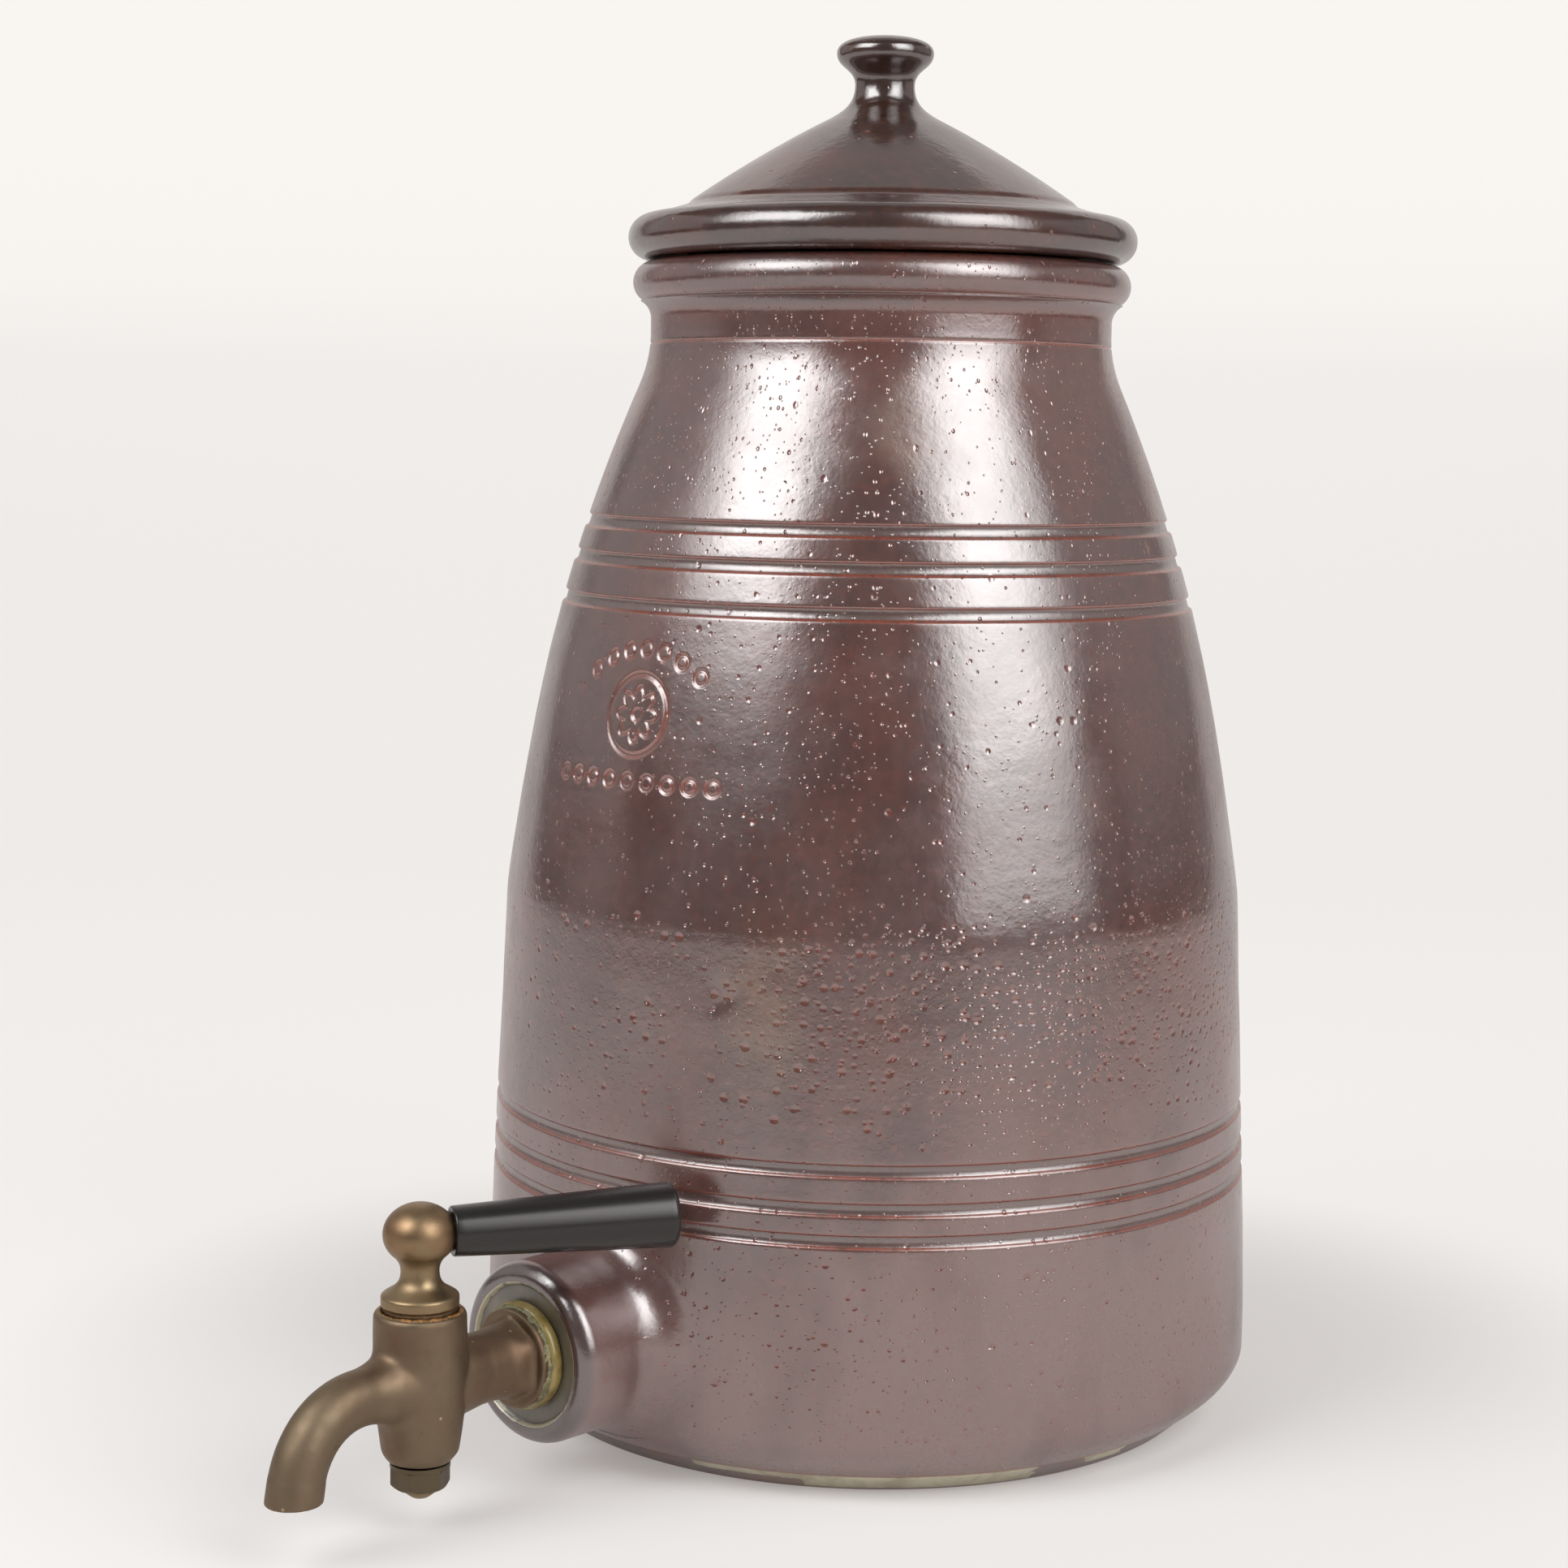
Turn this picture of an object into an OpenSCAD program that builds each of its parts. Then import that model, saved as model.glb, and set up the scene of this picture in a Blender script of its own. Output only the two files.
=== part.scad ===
// Stoneware water crock with a loose lid and a brass plug tap with a lever grip.
// Millimetres, +Z up. The origin is the centre of the flat underside, and the tap points along -Y.

/* [Crock] */
// Height of the rim above the table
crock_h = 291.5; // [275:0.5:315]
// Largest outside radius, just above the foot
body_r = 99; // [94:0.5:105]
// Outside radius where the shoulder starts
shoulder_r = 94.4; // [90:0.2:98]
// Height where the shoulder starts
shoulder_z = 134; // [120:1:150]
// Outside radius of the neck at its narrowest
neck_r = 58.6; // [54:0.2:64]
// Thickness of the thrown wall
wall = 8; // [6:0.5:10]
// Thickness of the floor
floor_t = 9; // [7:0.5:12]
// Radius on which the bare foot stands
foot_r = 84.5; // [78:0.5:87]
// Height of the bare foot band under the glaze edge
foot_h = 5; // [4:0.5:8]
// Radius of the rolled rim's section
rim_roll = 5.3; // [4.6:0.1:6]
// How far the rolled rim stands out past the neck
rim_out = 4.6; // [3.5:0.1:6]

/* [Turned bands] */
// Width of a turned band
band_w = 3; // [2:0.1:4]
// Depth of a turned band
band_d = 0.8; // [0.4:0.1:1.2]
// Height of the lowest band
lower_band_z = 63.6; // [62.5:0.2:72]
// Height of the lowest shoulder band
upper_band_z = 207.3; // [195:0.5:215]
// Depth of the thin line round the neck
neck_line_d = 0.4; // [0.2:0.1:0.8]

/* [Tap boss] */
// Height of the tap's axis above the table
tap_z = 33.5; // [33:0.5:34.5]
// Radius of the boss on the wall
boss_r = 21.7; // [20:0.1:22.5]
// How far the boss face stands out from the wall
boss_len = 22.8; // [20:0.2:30]
// Rounding of the boss's front edge
boss_edge = 4; // [2:0.5:5]
// Radius of the sunk seat in the boss face
seat_r = 17; // [16:0.1:17.5]
// Depth of that sunk seat
seat_d = 1.2; // [0.6:0.1:2]
// Play of the threaded tail in its hole
tail_play = 1; // [0.5:0.1:1.5]

/* [Lid] */
// Play of the locating ring inside the mouth
lid_play = 1.4; // [0.8:0.1:2.5]
// How far the lid's flange stands out past the rim
lid_over = 1.2; // [0:0.1:2.5]
// Radius of the flange's rolled edge
flange_roll = 5.6; // [4.5:0.1:6.2]
// Height of the cone from its foot to the knob's stem
cone_h = 20; // [17:0.5:26]
// Radius of the cone's foot
cone_r = 49.6; // [46:0.1:52]
// Radius of the knob
knob_r = 12.3; // [10.5:0.1:14]
// Height of the knob and its stem
knob_h = 21; // [19:0.5:26]
// Thickness of the lid's thrown wall
lid_wall = 6; // [4.5:0.5:7]
// Depth of the locating ring under the flange
ring_h = 11; // [7:0.5:14]
// Thickness of the locating ring
ring_t = 5; // [4:0.5:7]

/* [Tap body] */
// Distance from the tail flange's face to the barrel's axis
tail_len = 27; // [25:0.5:34]
// Radius of the tail between barrel and flats
tail_r = 8.4; // [7.8:0.1:8.6]
// Distance across the wrench flats beside the flange
flats_w = 17.4; // [17.2:0.1:18.4]
// Radius of the tail flange
flange_r = 11.8; // [11.3:0.1:13]
// Thickness of the tail flange
flange_t = 2.4; // [1.8:0.1:3.5]
// Radius of the threaded stretch of the tail
thread_r = 8.2; // [7.6:0.1:8.6]
// Radius of the waterway in the tail
tail_bore_r = 5; // [4:0.1:5.4]
// Outside radius of the barrel
barrel_r = 10.8; // [10.4:0.1:11.6]
// Height of the barrel above the tap's axis
barrel_up = 17.6; // [16:0.2:20]
// Depth of the barrel below the tap's axis
barrel_down = 17.5; // [16:0.2:18]
// Outside radius of the spout
spout_r = 6.4; // [6:0.1:7]
// Radius of the spout's waterway
spout_bore_r = 4.3; // [3.6:0.1:4.6]
// Radius of the spout's bend
bend_r = 18; // [15:0.5:22]
// Straight run from the barrel's axis to the bend
spout_run = 17.5; // [17:0.5:22]
// Drop from the spout's axis to its mouth
spout_drop = 19.5; // [17:0.5:21]

/* [Plug and lever] */
// Radius of the plug's cone at the barrel's top
plug_top_r = 8.45; // [8.2:0.05:8.6]
// Radius of the plug's cone at the barrel's foot
plug_foot_r = 5.2; // [4.9:0.05:5.4]
// Running clearance round the plug
plug_fit = 0.05; // [0.02:0.01:0.1]
// Radius of the cross port through the plug
port_r = 3.2; // [2.8:0.1:3.3]
// Radius of the stud under the plug
stud_r = 3.5; // [3:0.1:3.8]
// Radius of the plug's collar over the barrel
collar_r = 8.9; // [8.7:0.05:9.6]
// Radius of the ball that carries the lever
ball_r = 8.45; // [8:0.05:9]
// Height of the ball's centre over the barrel's top
ball_up = 17.5; // [16.5:0.1:20]
// Distance across the plug nut's flats
nut_w = 12; // [11:0.1:13]
// Thickness of the plug nut
nut_h = 5; // [4:0.2:5.4]
// Reach of the lever from the plug's axis
lever_len = 60.3; // [54:0.5:75]
// Radius of the grip beside the ball
grip_small_r = 5.8; // [5.2:0.1:6.6]
// Radius of the grip at its free end
grip_big_r = 7.6; // [6.8:0.1:8.4]
// Radius of the lever's rod
rod_r = 2.2; // [1.8:0.1:2.8]
// Gap between the grip's end and the crock when the lever is tucked in
lever_gap = 1.2; // [0.6:0.1:3]

/* [Seals and back nut] */
// Radius of the seal outside the crock
outer_seal_r = 13.2; // [12.5:0.1:14.5]
// Thickness of the seal outside the crock
outer_seal_t = 3.2; // [2.4:0.1:4.5]
// Radius of the seal inside the crock
inner_seal_r = 15.5; // [14.8:0.1:16]
// Thickness of the seal inside the crock
inner_seal_t = 3; // [2:0.1:4]
// Thickness of the washer behind the back nut
washer_t = 1.6; // [1:0.1:2.5]
// Distance across the back nut's flats
back_nut_w = 26; // [24:0.5:27]
// Thickness of the back nut
back_nut_h = 7; // [5:0.5:9]

/* [Hidden] */
$fn = 96;
curve_steps = 10;
overshoot = 1;
thread_fit = 0.05;
seat_gap = 0.3;
running_gap = 0.3;

// Crock outline: foot, roll over the foot, straight body, shoulder, neck and rolled rim
ledge_r = foot_r + 6.4;
ledge_step = 0.6;
belly_z = foot_h + 11;
belly_pull = (shoulder_z - belly_z) / 4;
shoulder_lean = 0.15;
neck_lean = 0.431;
neck_sweep = atan(neck_lean);
neck_arc_r = 34;
neck_z = crock_h - 17.4;
shoulder_top = [neck_r + neck_arc_r * (1 - cos(neck_sweep)), neck_z - neck_arc_r * sin(neck_sweep)];
shoulder_pull = (shoulder_top[1] - shoulder_z) * 0.36;
rim_c = [neck_r + rim_out - rim_roll, crock_h - rim_roll];
cove_r = 5;
cove_c = [neck_r + cove_r,
    rim_c[1] - sqrt(pow(cove_r + rim_roll, 2) - pow(cove_r + rim_roll - rim_out, 2))];
cove_sweep = atan2(rim_c[1] - cove_c[1], cove_c[0] - rim_c[0]);
mouth_r = neck_r - wall;
land_r = mouth_r + 2.5;

// Bands, as heights over the lowest of each set
lower_bands = [for (step = [0, 7.5, 16.5]) lower_band_z + step];
upper_bands = [for (step = [0, 10.4, 19.1]) upper_band_z + step];
neck_line_w = 0.9;

function curve(a, b, c, d) = [for (i = [0:curve_steps]) let (t = i / curve_steps)
    pow(1 - t, 3) * a + 3 * t * pow(1 - t, 2) * b + 3 * t * t * (1 - t) * c + pow(t, 3) * d];
function arc(c, r, from, to) = [for (i = [0:curve_steps])
    let (a = from + (to - from) * i / curve_steps) [c[0] + r * cos(a), c[1] + r * sin(a)]];
function after_first(points) = [for (i = [1:len(points) - 1]) points[i]];

body_side = concat(
    curve([ledge_r, foot_h + ledge_step], [body_r - 2.7, foot_h + 4.2],
        [body_r, foot_h + 7.7], [body_r, belly_z]),
    after_first(curve([body_r, belly_z], [body_r, belly_z + belly_pull],
        [shoulder_r + 1, shoulder_z - belly_pull], [shoulder_r, shoulder_z])),
    after_first(curve([shoulder_r, shoulder_z],
        [shoulder_r - shoulder_lean * shoulder_pull, shoulder_z + shoulder_pull],
        [shoulder_top[0] + neck_lean * shoulder_pull, shoulder_top[1] - shoulder_pull],
        shoulder_top)));
neck_side = after_first(arc([neck_r + neck_arc_r, neck_z], neck_arc_r, 180 + neck_sweep, 180));
rim_side = concat(
    arc(cove_c, cove_r, 180, 180 - cove_sweep),
    after_first(arc(rim_c, rim_roll, -cove_sweep, 90)));
outer_side = concat(body_side, neck_side, rim_side);
outer_table = [for (p = concat(body_side, neck_side)) [p[1], p[0]]];

function outer_r(z) = lookup(z, outer_table);
function inner_r(z) = outer_r(z) - wall;

// Tap line, from the inside of the crock to the spout
wall_y = outer_r(tap_z);
boss_face = wall_y + boss_len;
outer_seat = boss_face - seat_d;
flange_back = outer_seat + outer_seal_t;
flange_face = flange_back + flange_t;
tap_reach = flange_face + tail_len;
inner_seat = inner_r(tap_z) + 0.3;
washer_face = inner_seat - inner_seal_t;
nut_face = washer_face - washer_t;
tail_end = nut_face - back_nut_h - 2;
boss_flare = 6;
flare_lean = 31;
foot_lean = 0.85;

// Heights along the barrel's axis
barrel_foot = tap_z - barrel_down;
barrel_top = tap_z + barrel_up;
ball_z = barrel_top + ball_up;
ball_half_h = ball_r * 0.85;
washer_h = 1;
nut_top = barrel_foot - running_gap - washer_h;
stud_foot = nut_top - nut_h - 2.4;
plug_foot = barrel_foot + 0.6;
spout_z = tap_z + 1;
bend_sweep = 80;
root_in = 5;
mouth_lip = 0.1;

// The lever is tucked in until its grip stands lever_gap off the crock's wall
rod_flat = ball_r * 0.85;
rod_shoulder_t = 0.8;
rod_shoulder_r = 4.2;
rod_depth = 4;
rod_end = lever_len * 0.7;
grip_start = rod_flat + rod_shoulder_t;
corner_len = norm([lever_len, grip_big_r]);
corner_turn = atan(grip_big_r / lever_len);
wall_clear = outer_r(ball_z) + lever_gap;
corner_cos = (pow(tap_reach, 2) + pow(corner_len, 2) - pow(wall_clear, 2))
    / (2 * tap_reach * corner_len);
lever_turn = corner_turn + acos(min(1, corner_cos));

// Lid, from its flange up
flange_z = crock_h + seat_gap;
flange_c = [rim_c[0] + rim_roll + lid_over - flange_roll, flange_z + flange_roll];
flange_top = flange_z + 2 * flange_roll;
ring_r = mouth_r - lid_play;
cone_foot = flange_top + 2.6;
cone_z = cone_foot + 1.6;
stem_z = cone_z + cone_h;
knob_top = stem_z + knob_h;
stem_r = knob_r - 4.7;

function plug_r(z) = plug_foot_r + (plug_top_r - plug_foot_r) * (z - barrel_foot) / (barrel_top - barrel_foot);

// Turns a piece drawn upward so that it points away from the crock, or into it, along the tap's axis
module along_tap() translate([0, 0, tap_z]) rotate([90, 0, 0]) children();
module on_barrel() translate([0, -tap_reach, 0]) children();
module on_spout() translate([0, -tap_reach, spout_z]) rotate([90, 0, 0]) children();
module along_lever() on_barrel() translate([0, 0, ball_z]) rotate([-90, 0, -lever_turn]) children();

module ring(outer, inner, height) {
    difference() {
        cylinder(r = outer, h = height);
        translate([0, 0, -overshoot]) cylinder(r = inner, h = height + 2 * overshoot);
    }
}

module hexagon(across, height) cylinder(d = across / cos(30), h = height, $fn = 6);

// A nut drawn upward from its chamfered end, with corners turned down by a cone
module nut(across, bore, height) {
    chamfered_r = across / 2 - 0.4;
    difference() {
        intersection() {
            hexagon(across, height);
            cylinder(r1 = chamfered_r, r2 = chamfered_r + height * 1.4, h = height);
        }
        translate([0, 0, -overshoot]) cylinder(r = bore, h = height + 2 * overshoot);
    }
}

module turned_band(z, width, depth) {
    translate([0, 0, z - width / 2]) ring(outer_r(z) + overshoot, outer_r(z) - depth, width);
}

module crock_outside() {
    rotate_extrude()
        polygon(concat([[0, 0], [foot_r, 0], [ledge_r - ledge_step, foot_h]], outer_side,
            [[land_r, crock_h], [0, crock_h]]));
}

module crock_cavity() {
    corner = 11;
    floor_side = arc([inner_r(floor_t + corner) - corner, floor_t + corner], corner, -90, 0);
    shoulder_side = [for (p = outer_side) if (p[1] >= shoulder_z && p[1] <= neck_z) [p[0] - wall, p[1]]];
    rotate_extrude()
        polygon(concat([[0, floor_t]], floor_side, shoulder_side,
            [[mouth_r, crock_h - 2.5], [land_r, crock_h], [land_r, crock_h + overshoot],
                [0, crock_h + overshoot]]));
}

// The flare eases the boss into the wall; below, it ends on a cone that carries on the roll over the foot
module boss() {
    root = wall_y - wall;
    flare_c = [boss_r + boss_flare, wall_y + boss_flare * 0.8];
    flare_end = [flare_c[0] - boss_flare * sin(flare_lean), flare_c[1] - boss_flare * cos(flare_lean)];
    trim_h = 3 * tap_z;
    along_tap() rotate_extrude()
        polygon(concat([[0, root], [boss_r, root]],
            arc([boss_r - boss_edge, boss_face - boss_edge], boss_edge, 0, 90),
            [[0, boss_face]]));
    intersection() {
        along_tap() rotate_extrude()
            polygon(concat([[0, root], [flare_end[0] + (flare_end[1] - root) / tan(flare_lean), root]],
                arc(flare_c, boss_flare, 270 - flare_lean, 180),
                [[0, flare_c[1]]]));
        translate([0, 0, foot_h + ledge_step])
            cylinder(r1 = ledge_r, r2 = ledge_r + trim_h / foot_lean, h = trim_h);
    }
}

module crock() {
    color("#4b3a37")
    difference() {
        union() {
            crock_outside();
            boss();
        }
        crock_cavity();
        for (z = concat(lower_bands, upper_bands)) turned_band(z, band_w, band_d);
        turned_band(neck_z - 3.2, neck_line_w, neck_line_d);
        along_tap() {
            cylinder(r = thread_r + tail_play, h = boss_face + overshoot);
            translate([0, 0, outer_seat]) cylinder(r = seat_r, h = seat_d + overshoot);
            translate([0, 0, inner_seat - 10]) cylinder(r = inner_seal_r + 1.5, h = 10);
        }
    }
}

module lid() {
    cone_side = curve([cone_r - 1.6, cone_z], [cone_r - 11.6, cone_z + cone_h * 0.34],
        [stem_r + 17.4, stem_z - cone_h * 0.26], [stem_r + 6.9, stem_z]);
    stem_side = curve([stem_r + 6.9, stem_z], [stem_r + 3, stem_z + 2.2],
        [stem_r, stem_z + 4], [stem_r, stem_z + 8.8]);
    knob_under = curve([stem_r, stem_z + 8.8], [stem_r, stem_z + 13],
        [knob_r, knob_top - 8], [knob_r, knob_top - 4.3]);
    knob_over = curve([knob_r, knob_top - 4.3], [knob_r, knob_top - 1.7],
        [knob_r - 3.5, knob_top], [0, knob_top]);
    ring_in = ring_r - ring_t;
    roof = flange_top - 2;
    color("#40332f")
    rotate_extrude()
        polygon(concat(
            [[ring_r, flange_z - ring_h], [ring_r, flange_z]],
            arc(flange_c, flange_roll, -90, 90),
            [[cone_r, cone_foot], [cone_r - 0.6, cone_foot + 1]],
            cone_side, after_first(stem_side), after_first(knob_under), after_first(knob_over),
            [[0, stem_z - lid_wall], [stem_r, stem_z - lid_wall - 1.5],
                [ring_in - 4, roof], [ring_in, roof - 3], [ring_in, flange_z - ring_h]]));
}

module outer_seal() {
    bulge = 0.9;
    hole = thread_r + thread_fit;
    color("#8a7a45")
    along_tap() translate([0, 0, outer_seat]) rotate_extrude()
        polygon(concat([[hole, 0], [outer_seal_r - bulge, 0]],
            curve([outer_seal_r - bulge, 0], [outer_seal_r, outer_seal_t * 0.15],
                [outer_seal_r, outer_seal_t * 0.85], [outer_seal_r - bulge, outer_seal_t]),
            [[hole, outer_seal_t]]));
}

module inner_seal() {
    color("#2b2825")
    along_tap() translate([0, 0, washer_face]) ring(inner_seal_r, thread_r + thread_fit, inner_seal_t);
}

module inner_washer() {
    color("#8f7a48")
    along_tap() translate([0, 0, nut_face]) ring(inner_seal_r - 1, thread_r + thread_fit, washer_t);
}

module back_nut() {
    color("#8f7a48")
    along_tap() translate([0, 0, nut_face - back_nut_h]) nut(back_nut_w, thread_r + thread_fit, back_nut_h);
}

module barrel() {
    foot_turn = barrel_r - 1.9;
    on_barrel() rotate_extrude()
        polygon(concat([[0, barrel_foot], [foot_turn - 1.7, barrel_foot], [foot_turn, barrel_foot + 2.2]],
            curve([foot_turn + 0.1, barrel_foot + 2.6], [barrel_r - 0.8, tap_z - 8],
                [barrel_r, tap_z - 3], [barrel_r, tap_z + 4]),
            [[barrel_r - 0.1, barrel_top - 1], [barrel_r - 0.7, barrel_top], [0, barrel_top]]));
}

module tail() {
    flats_at = 6;
    root = [0, -tap_reach, tap_z];
    translate(root) rotate([-90, 0, 0]) {
        rotate_extrude()
            polygon(concat([[0, 0]],
                curve([tail_r + 1, root_in], [tail_r + 0.9, barrel_r],
                    [tail_r + 0.1, barrel_r + 2.5], [tail_r, barrel_r + 5]),
                [[tail_r, tail_len - flats_at + 1], [0, tail_len - flats_at + 1]]));
        intersection() {
            translate([0, 0, tail_len - flats_at])
                cylinder(r1 = tail_r - 0.4, r2 = flats_w / 2 / cos(30) + 0.1, h = flats_at);
            rotate([0, 0, 30]) hexagon(flats_w, tail_len);
        }
        translate([0, 0, tail_len]) cylinder(r = flange_r, h = flange_t);
        cylinder(r = thread_r, h = tap_reach - tail_end);
    }
}

// The bend of the spout and the straight end below it, drawn in the spout's own direction
module bent_end(radius) {
    translate([0, -bend_r, spout_run]) {
        rotate([90, 0, 90]) rotate_extrude(angle = bend_sweep) translate([bend_r, 0]) circle(r = radius);
        rotate([bend_sweep, 0, 0]) translate([0, bend_r, -0.5])
            cylinder(r = radius + mouth_lip, h = spout_drop);
    }
}

module spout_outside() {
    on_spout() {
        rotate_extrude()
            polygon(concat([[0, 0]],
                curve([spout_r + 2.5, root_in], [spout_r + 2.3, barrel_r],
                    [spout_r + 0.1, barrel_r + 2.5], [spout_r, spout_run]),
                [[0, spout_run]]));
        bent_end(spout_r);
    }
}

module tap_body() {
    mouth_cut = 40;
    color("#7a6440")
    difference() {
        union() {
            barrel();
            tail();
            spout_outside();
        }
        on_barrel() translate([0, 0, barrel_foot - overshoot])
            cylinder(r1 = plug_r(barrel_foot - overshoot) + plug_fit,
                r2 = plug_r(barrel_top + overshoot) + plug_fit,
                h = barrel_top - barrel_foot + 2 * overshoot);
        along_tap() translate([0, 0, tail_end - overshoot])
            cylinder(r = tail_bore_r, h = tap_reach - tail_end - barrel_r - 2);
        along_tap() translate([0, 0, tail_end]) cylinder(r = port_r, h = tap_reach - tail_end);
        on_spout() {
            cylinder(r = port_r, h = spout_run);
            bent_end(spout_bore_r);
        }
        translate([-mouth_cut / 2, -tap_reach - spout_run - bend_r - mouth_cut / 2, spout_z - spout_drop - mouth_cut])
            cube(mouth_cut);
    }
}

module tap_plug() {
    neck_r_plug = ball_r * 0.52;
    collar_z = barrel_top + 1.2;
    lip_h = 2.2;
    lip_top = collar_z + lip_h;
    ball_from = -38;
    ball_start = [ball_r * cos(ball_from), ball_z + ball_half_h * sin(ball_from)];
    neck_low = [neck_r_plug, ball_z - ball_up * 0.48];
    ball_side = [for (i = [0:2 * curve_steps]) let (a = ball_from + (90 - ball_from) * i / (2 * curve_steps))
        [ball_r * cos(a), ball_z + ball_half_h * sin(a)]];
    color("#80683f")
    difference() {
        on_barrel() rotate_extrude()
            polygon(concat(
                [[0, stud_foot], [stud_r - 1.6, stud_foot], [stud_r, stud_foot + 1.2], [stud_r, plug_foot],
                    [plug_r(plug_foot), plug_foot], [plug_r(barrel_top), barrel_top],
                    [plug_r(barrel_top), collar_z], [collar_r, collar_z], [collar_r, lip_top],
                    [collar_r - 0.5, lip_top + 0.5]],
                curve([collar_r - 0.7, lip_top + 0.6], [collar_r - 2.7, lip_top + 1.9],
                    [neck_r_plug, neck_low[1] - 3.4], neck_low),
                after_first(curve(neck_low, [neck_r_plug, neck_low[1] + 2],
                    ball_start - [1, 0.8], ball_start)),
                after_first(ball_side)));
        on_barrel() translate([0, 0, tap_z]) rotate([-90, 0, 90 - lever_turn])
            translate([0, 0, -barrel_r]) cylinder(r = port_r, h = 2 * barrel_r);
        along_lever() {
            translate([0, 0, rod_flat]) cylinder(r = ball_r, h = ball_r);
            translate([0, 0, rod_depth - 0.5]) cylinder(r = rod_r + thread_fit, h = ball_r);
        }
    }
}

module plug_washer() {
    color("#8c764a")
    on_barrel() translate([0, 0, nut_top]) ring(barrel_r - 3.9, stud_r + thread_fit, washer_h);
}

module plug_nut() {
    color("#6f5c3c")
    on_barrel() translate([0, 0, nut_top - nut_h]) nut(nut_w, stud_r + thread_fit, nut_h);
}

module lever_rod() {
    color("#a9a59a")
    along_lever() {
        translate([0, 0, rod_depth]) cylinder(r = rod_r, h = rod_end - rod_depth);
        translate([0, 0, rod_flat]) cylinder(r = rod_shoulder_r, h = rod_shoulder_t);
    }
}

module lever_grip() {
    edge = 1.6;
    swell = 0.7;
    side_top = lever_len - swell - edge;
    color("#1b1b1d")
    along_lever() difference() {
        rotate_extrude()
            polygon(concat([[0, grip_start], [grip_small_r - 0.4, grip_start], [grip_small_r, grip_start + 0.5]],
                arc([grip_big_r - edge, side_top], edge, 0, 80),
                [[0, lever_len]]));
        cylinder(r = rod_r + thread_fit, h = rod_end + 0.5);
    }
}

crock();
lid();
outer_seal();
tap_body();
inner_seal();
inner_washer();
back_nut();
tap_plug();
plug_washer();
plug_nut();
lever_rod();
lever_grip();
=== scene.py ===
import math

import bmesh
import bpy
import numpy as np
from mathutils import Matrix, Vector, noise


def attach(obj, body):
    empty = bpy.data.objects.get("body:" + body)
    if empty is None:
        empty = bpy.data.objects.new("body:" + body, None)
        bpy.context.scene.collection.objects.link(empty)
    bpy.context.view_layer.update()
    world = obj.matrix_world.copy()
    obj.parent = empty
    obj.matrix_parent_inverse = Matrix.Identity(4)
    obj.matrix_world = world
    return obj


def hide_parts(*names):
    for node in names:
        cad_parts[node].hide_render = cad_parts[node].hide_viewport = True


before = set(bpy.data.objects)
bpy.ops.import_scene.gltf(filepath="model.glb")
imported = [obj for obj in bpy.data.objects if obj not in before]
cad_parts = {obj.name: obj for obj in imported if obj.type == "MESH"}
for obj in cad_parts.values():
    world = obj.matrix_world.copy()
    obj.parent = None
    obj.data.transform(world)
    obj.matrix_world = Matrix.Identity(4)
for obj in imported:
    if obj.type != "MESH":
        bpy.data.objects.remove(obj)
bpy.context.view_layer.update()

# Outlines and meshes are in millimetres in the part's own frame, as in its source. Materials, the
# stage, the lights and the camera are in metres.
MM = 0.001

# ---------------------------------------------------------------- sizes, in millimetres

FOOT_EDGE = (90.9, 5.6)  # radius and height where the glazed wall starts
BODY_R, BODY_Z = 99.0, 16.0  # greatest radius, and where the curve of the foot reaches it
SHOULDER_R, SHOULDER_Z = 94.4, 134.0  # where the belly turns in
NECK_R, NECK_Z = 61.38, 260.64  # where the belly runs into the hollow curve of the neck
NECK_BEND, NECK_BEND_R, NECK_BEND_TURN = (92.6, 274.1), 34.0, 23.3
NECK_TOP = 262.0  # the wall's evenly spaced rows end here
RIM, RIM_R, RIM_START = (57.9, 286.2), 5.3, -61.9  # the rolled rim's middle, radius and first angle
MOUTH_R = 50.6
WALL, FLOOR_TOP, FLOOR_CORNER = 8.0, 9.0, 11.0  # wall, floor, and the curve between them inside

TAP_Z = 33.5  # the axis of boss and tail
BOSS_R, BOSS_FACE, BOSS_EDGE = 21.7, 121.5, 4.0  # radius, distance from the pot's axis, rounding
TAIL_HOLE_R = 9.2
AXIS_Y = -152.9  # the axis of barrel and plug
BALL_Z = 68.6
LEVER_TURN = math.radians(27.85)  # from straight back, as the lever lies at rest

# ---------------------------------------------------------------- outlines


def bezier(a, b, c, d, n=16):
    t = np.linspace(0, 1, n + 1)[:, None]
    a, b, c, d = (np.array(p, float) for p in (a, b, c, d))
    return (1 - t) ** 3 * a + 3 * t * (1 - t) ** 2 * b + 3 * t * t * (1 - t) * c + t**3 * d


def arc(c, r, start, end, n=12):
    a = np.radians(np.linspace(start, end, n + 1))
    return np.stack([c[0] + r * np.cos(a), c[1] + r * np.sin(a)], 1)


def evenly(points, step):
    """The same line with a point about every step."""
    p = np.array(points, float)
    s = np.concatenate([[0], np.cumsum(np.hypot(*np.diff(p, axis=0).T))])
    n = max(2, int(round(s[-1] / step)) + 1)
    t = np.linspace(0, s[-1], n)
    return np.stack([np.interp(t, s, p[:, 0]), np.interp(t, s, p[:, 1])], 1)


shoulder = (SHOULDER_R, SHOULDER_Z)
neck = (NECK_R, NECK_Z)
body_line = np.vstack([
    bezier(FOOT_EDGE, (96.3, 9.2), (BODY_R, 12.7), (BODY_R, BODY_Z)),
    bezier((BODY_R, BODY_Z), (BODY_R, 45.5), (95.4, 104.5), shoulder)[1:],
    bezier(shoulder, (87.6, 179.6), (81.06, 215.05), neck, 30)[1:],
    arc(NECK_BEND, NECK_BEND_R, 180 + NECK_BEND_TURN, 180, 10)[1:],
])


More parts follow.
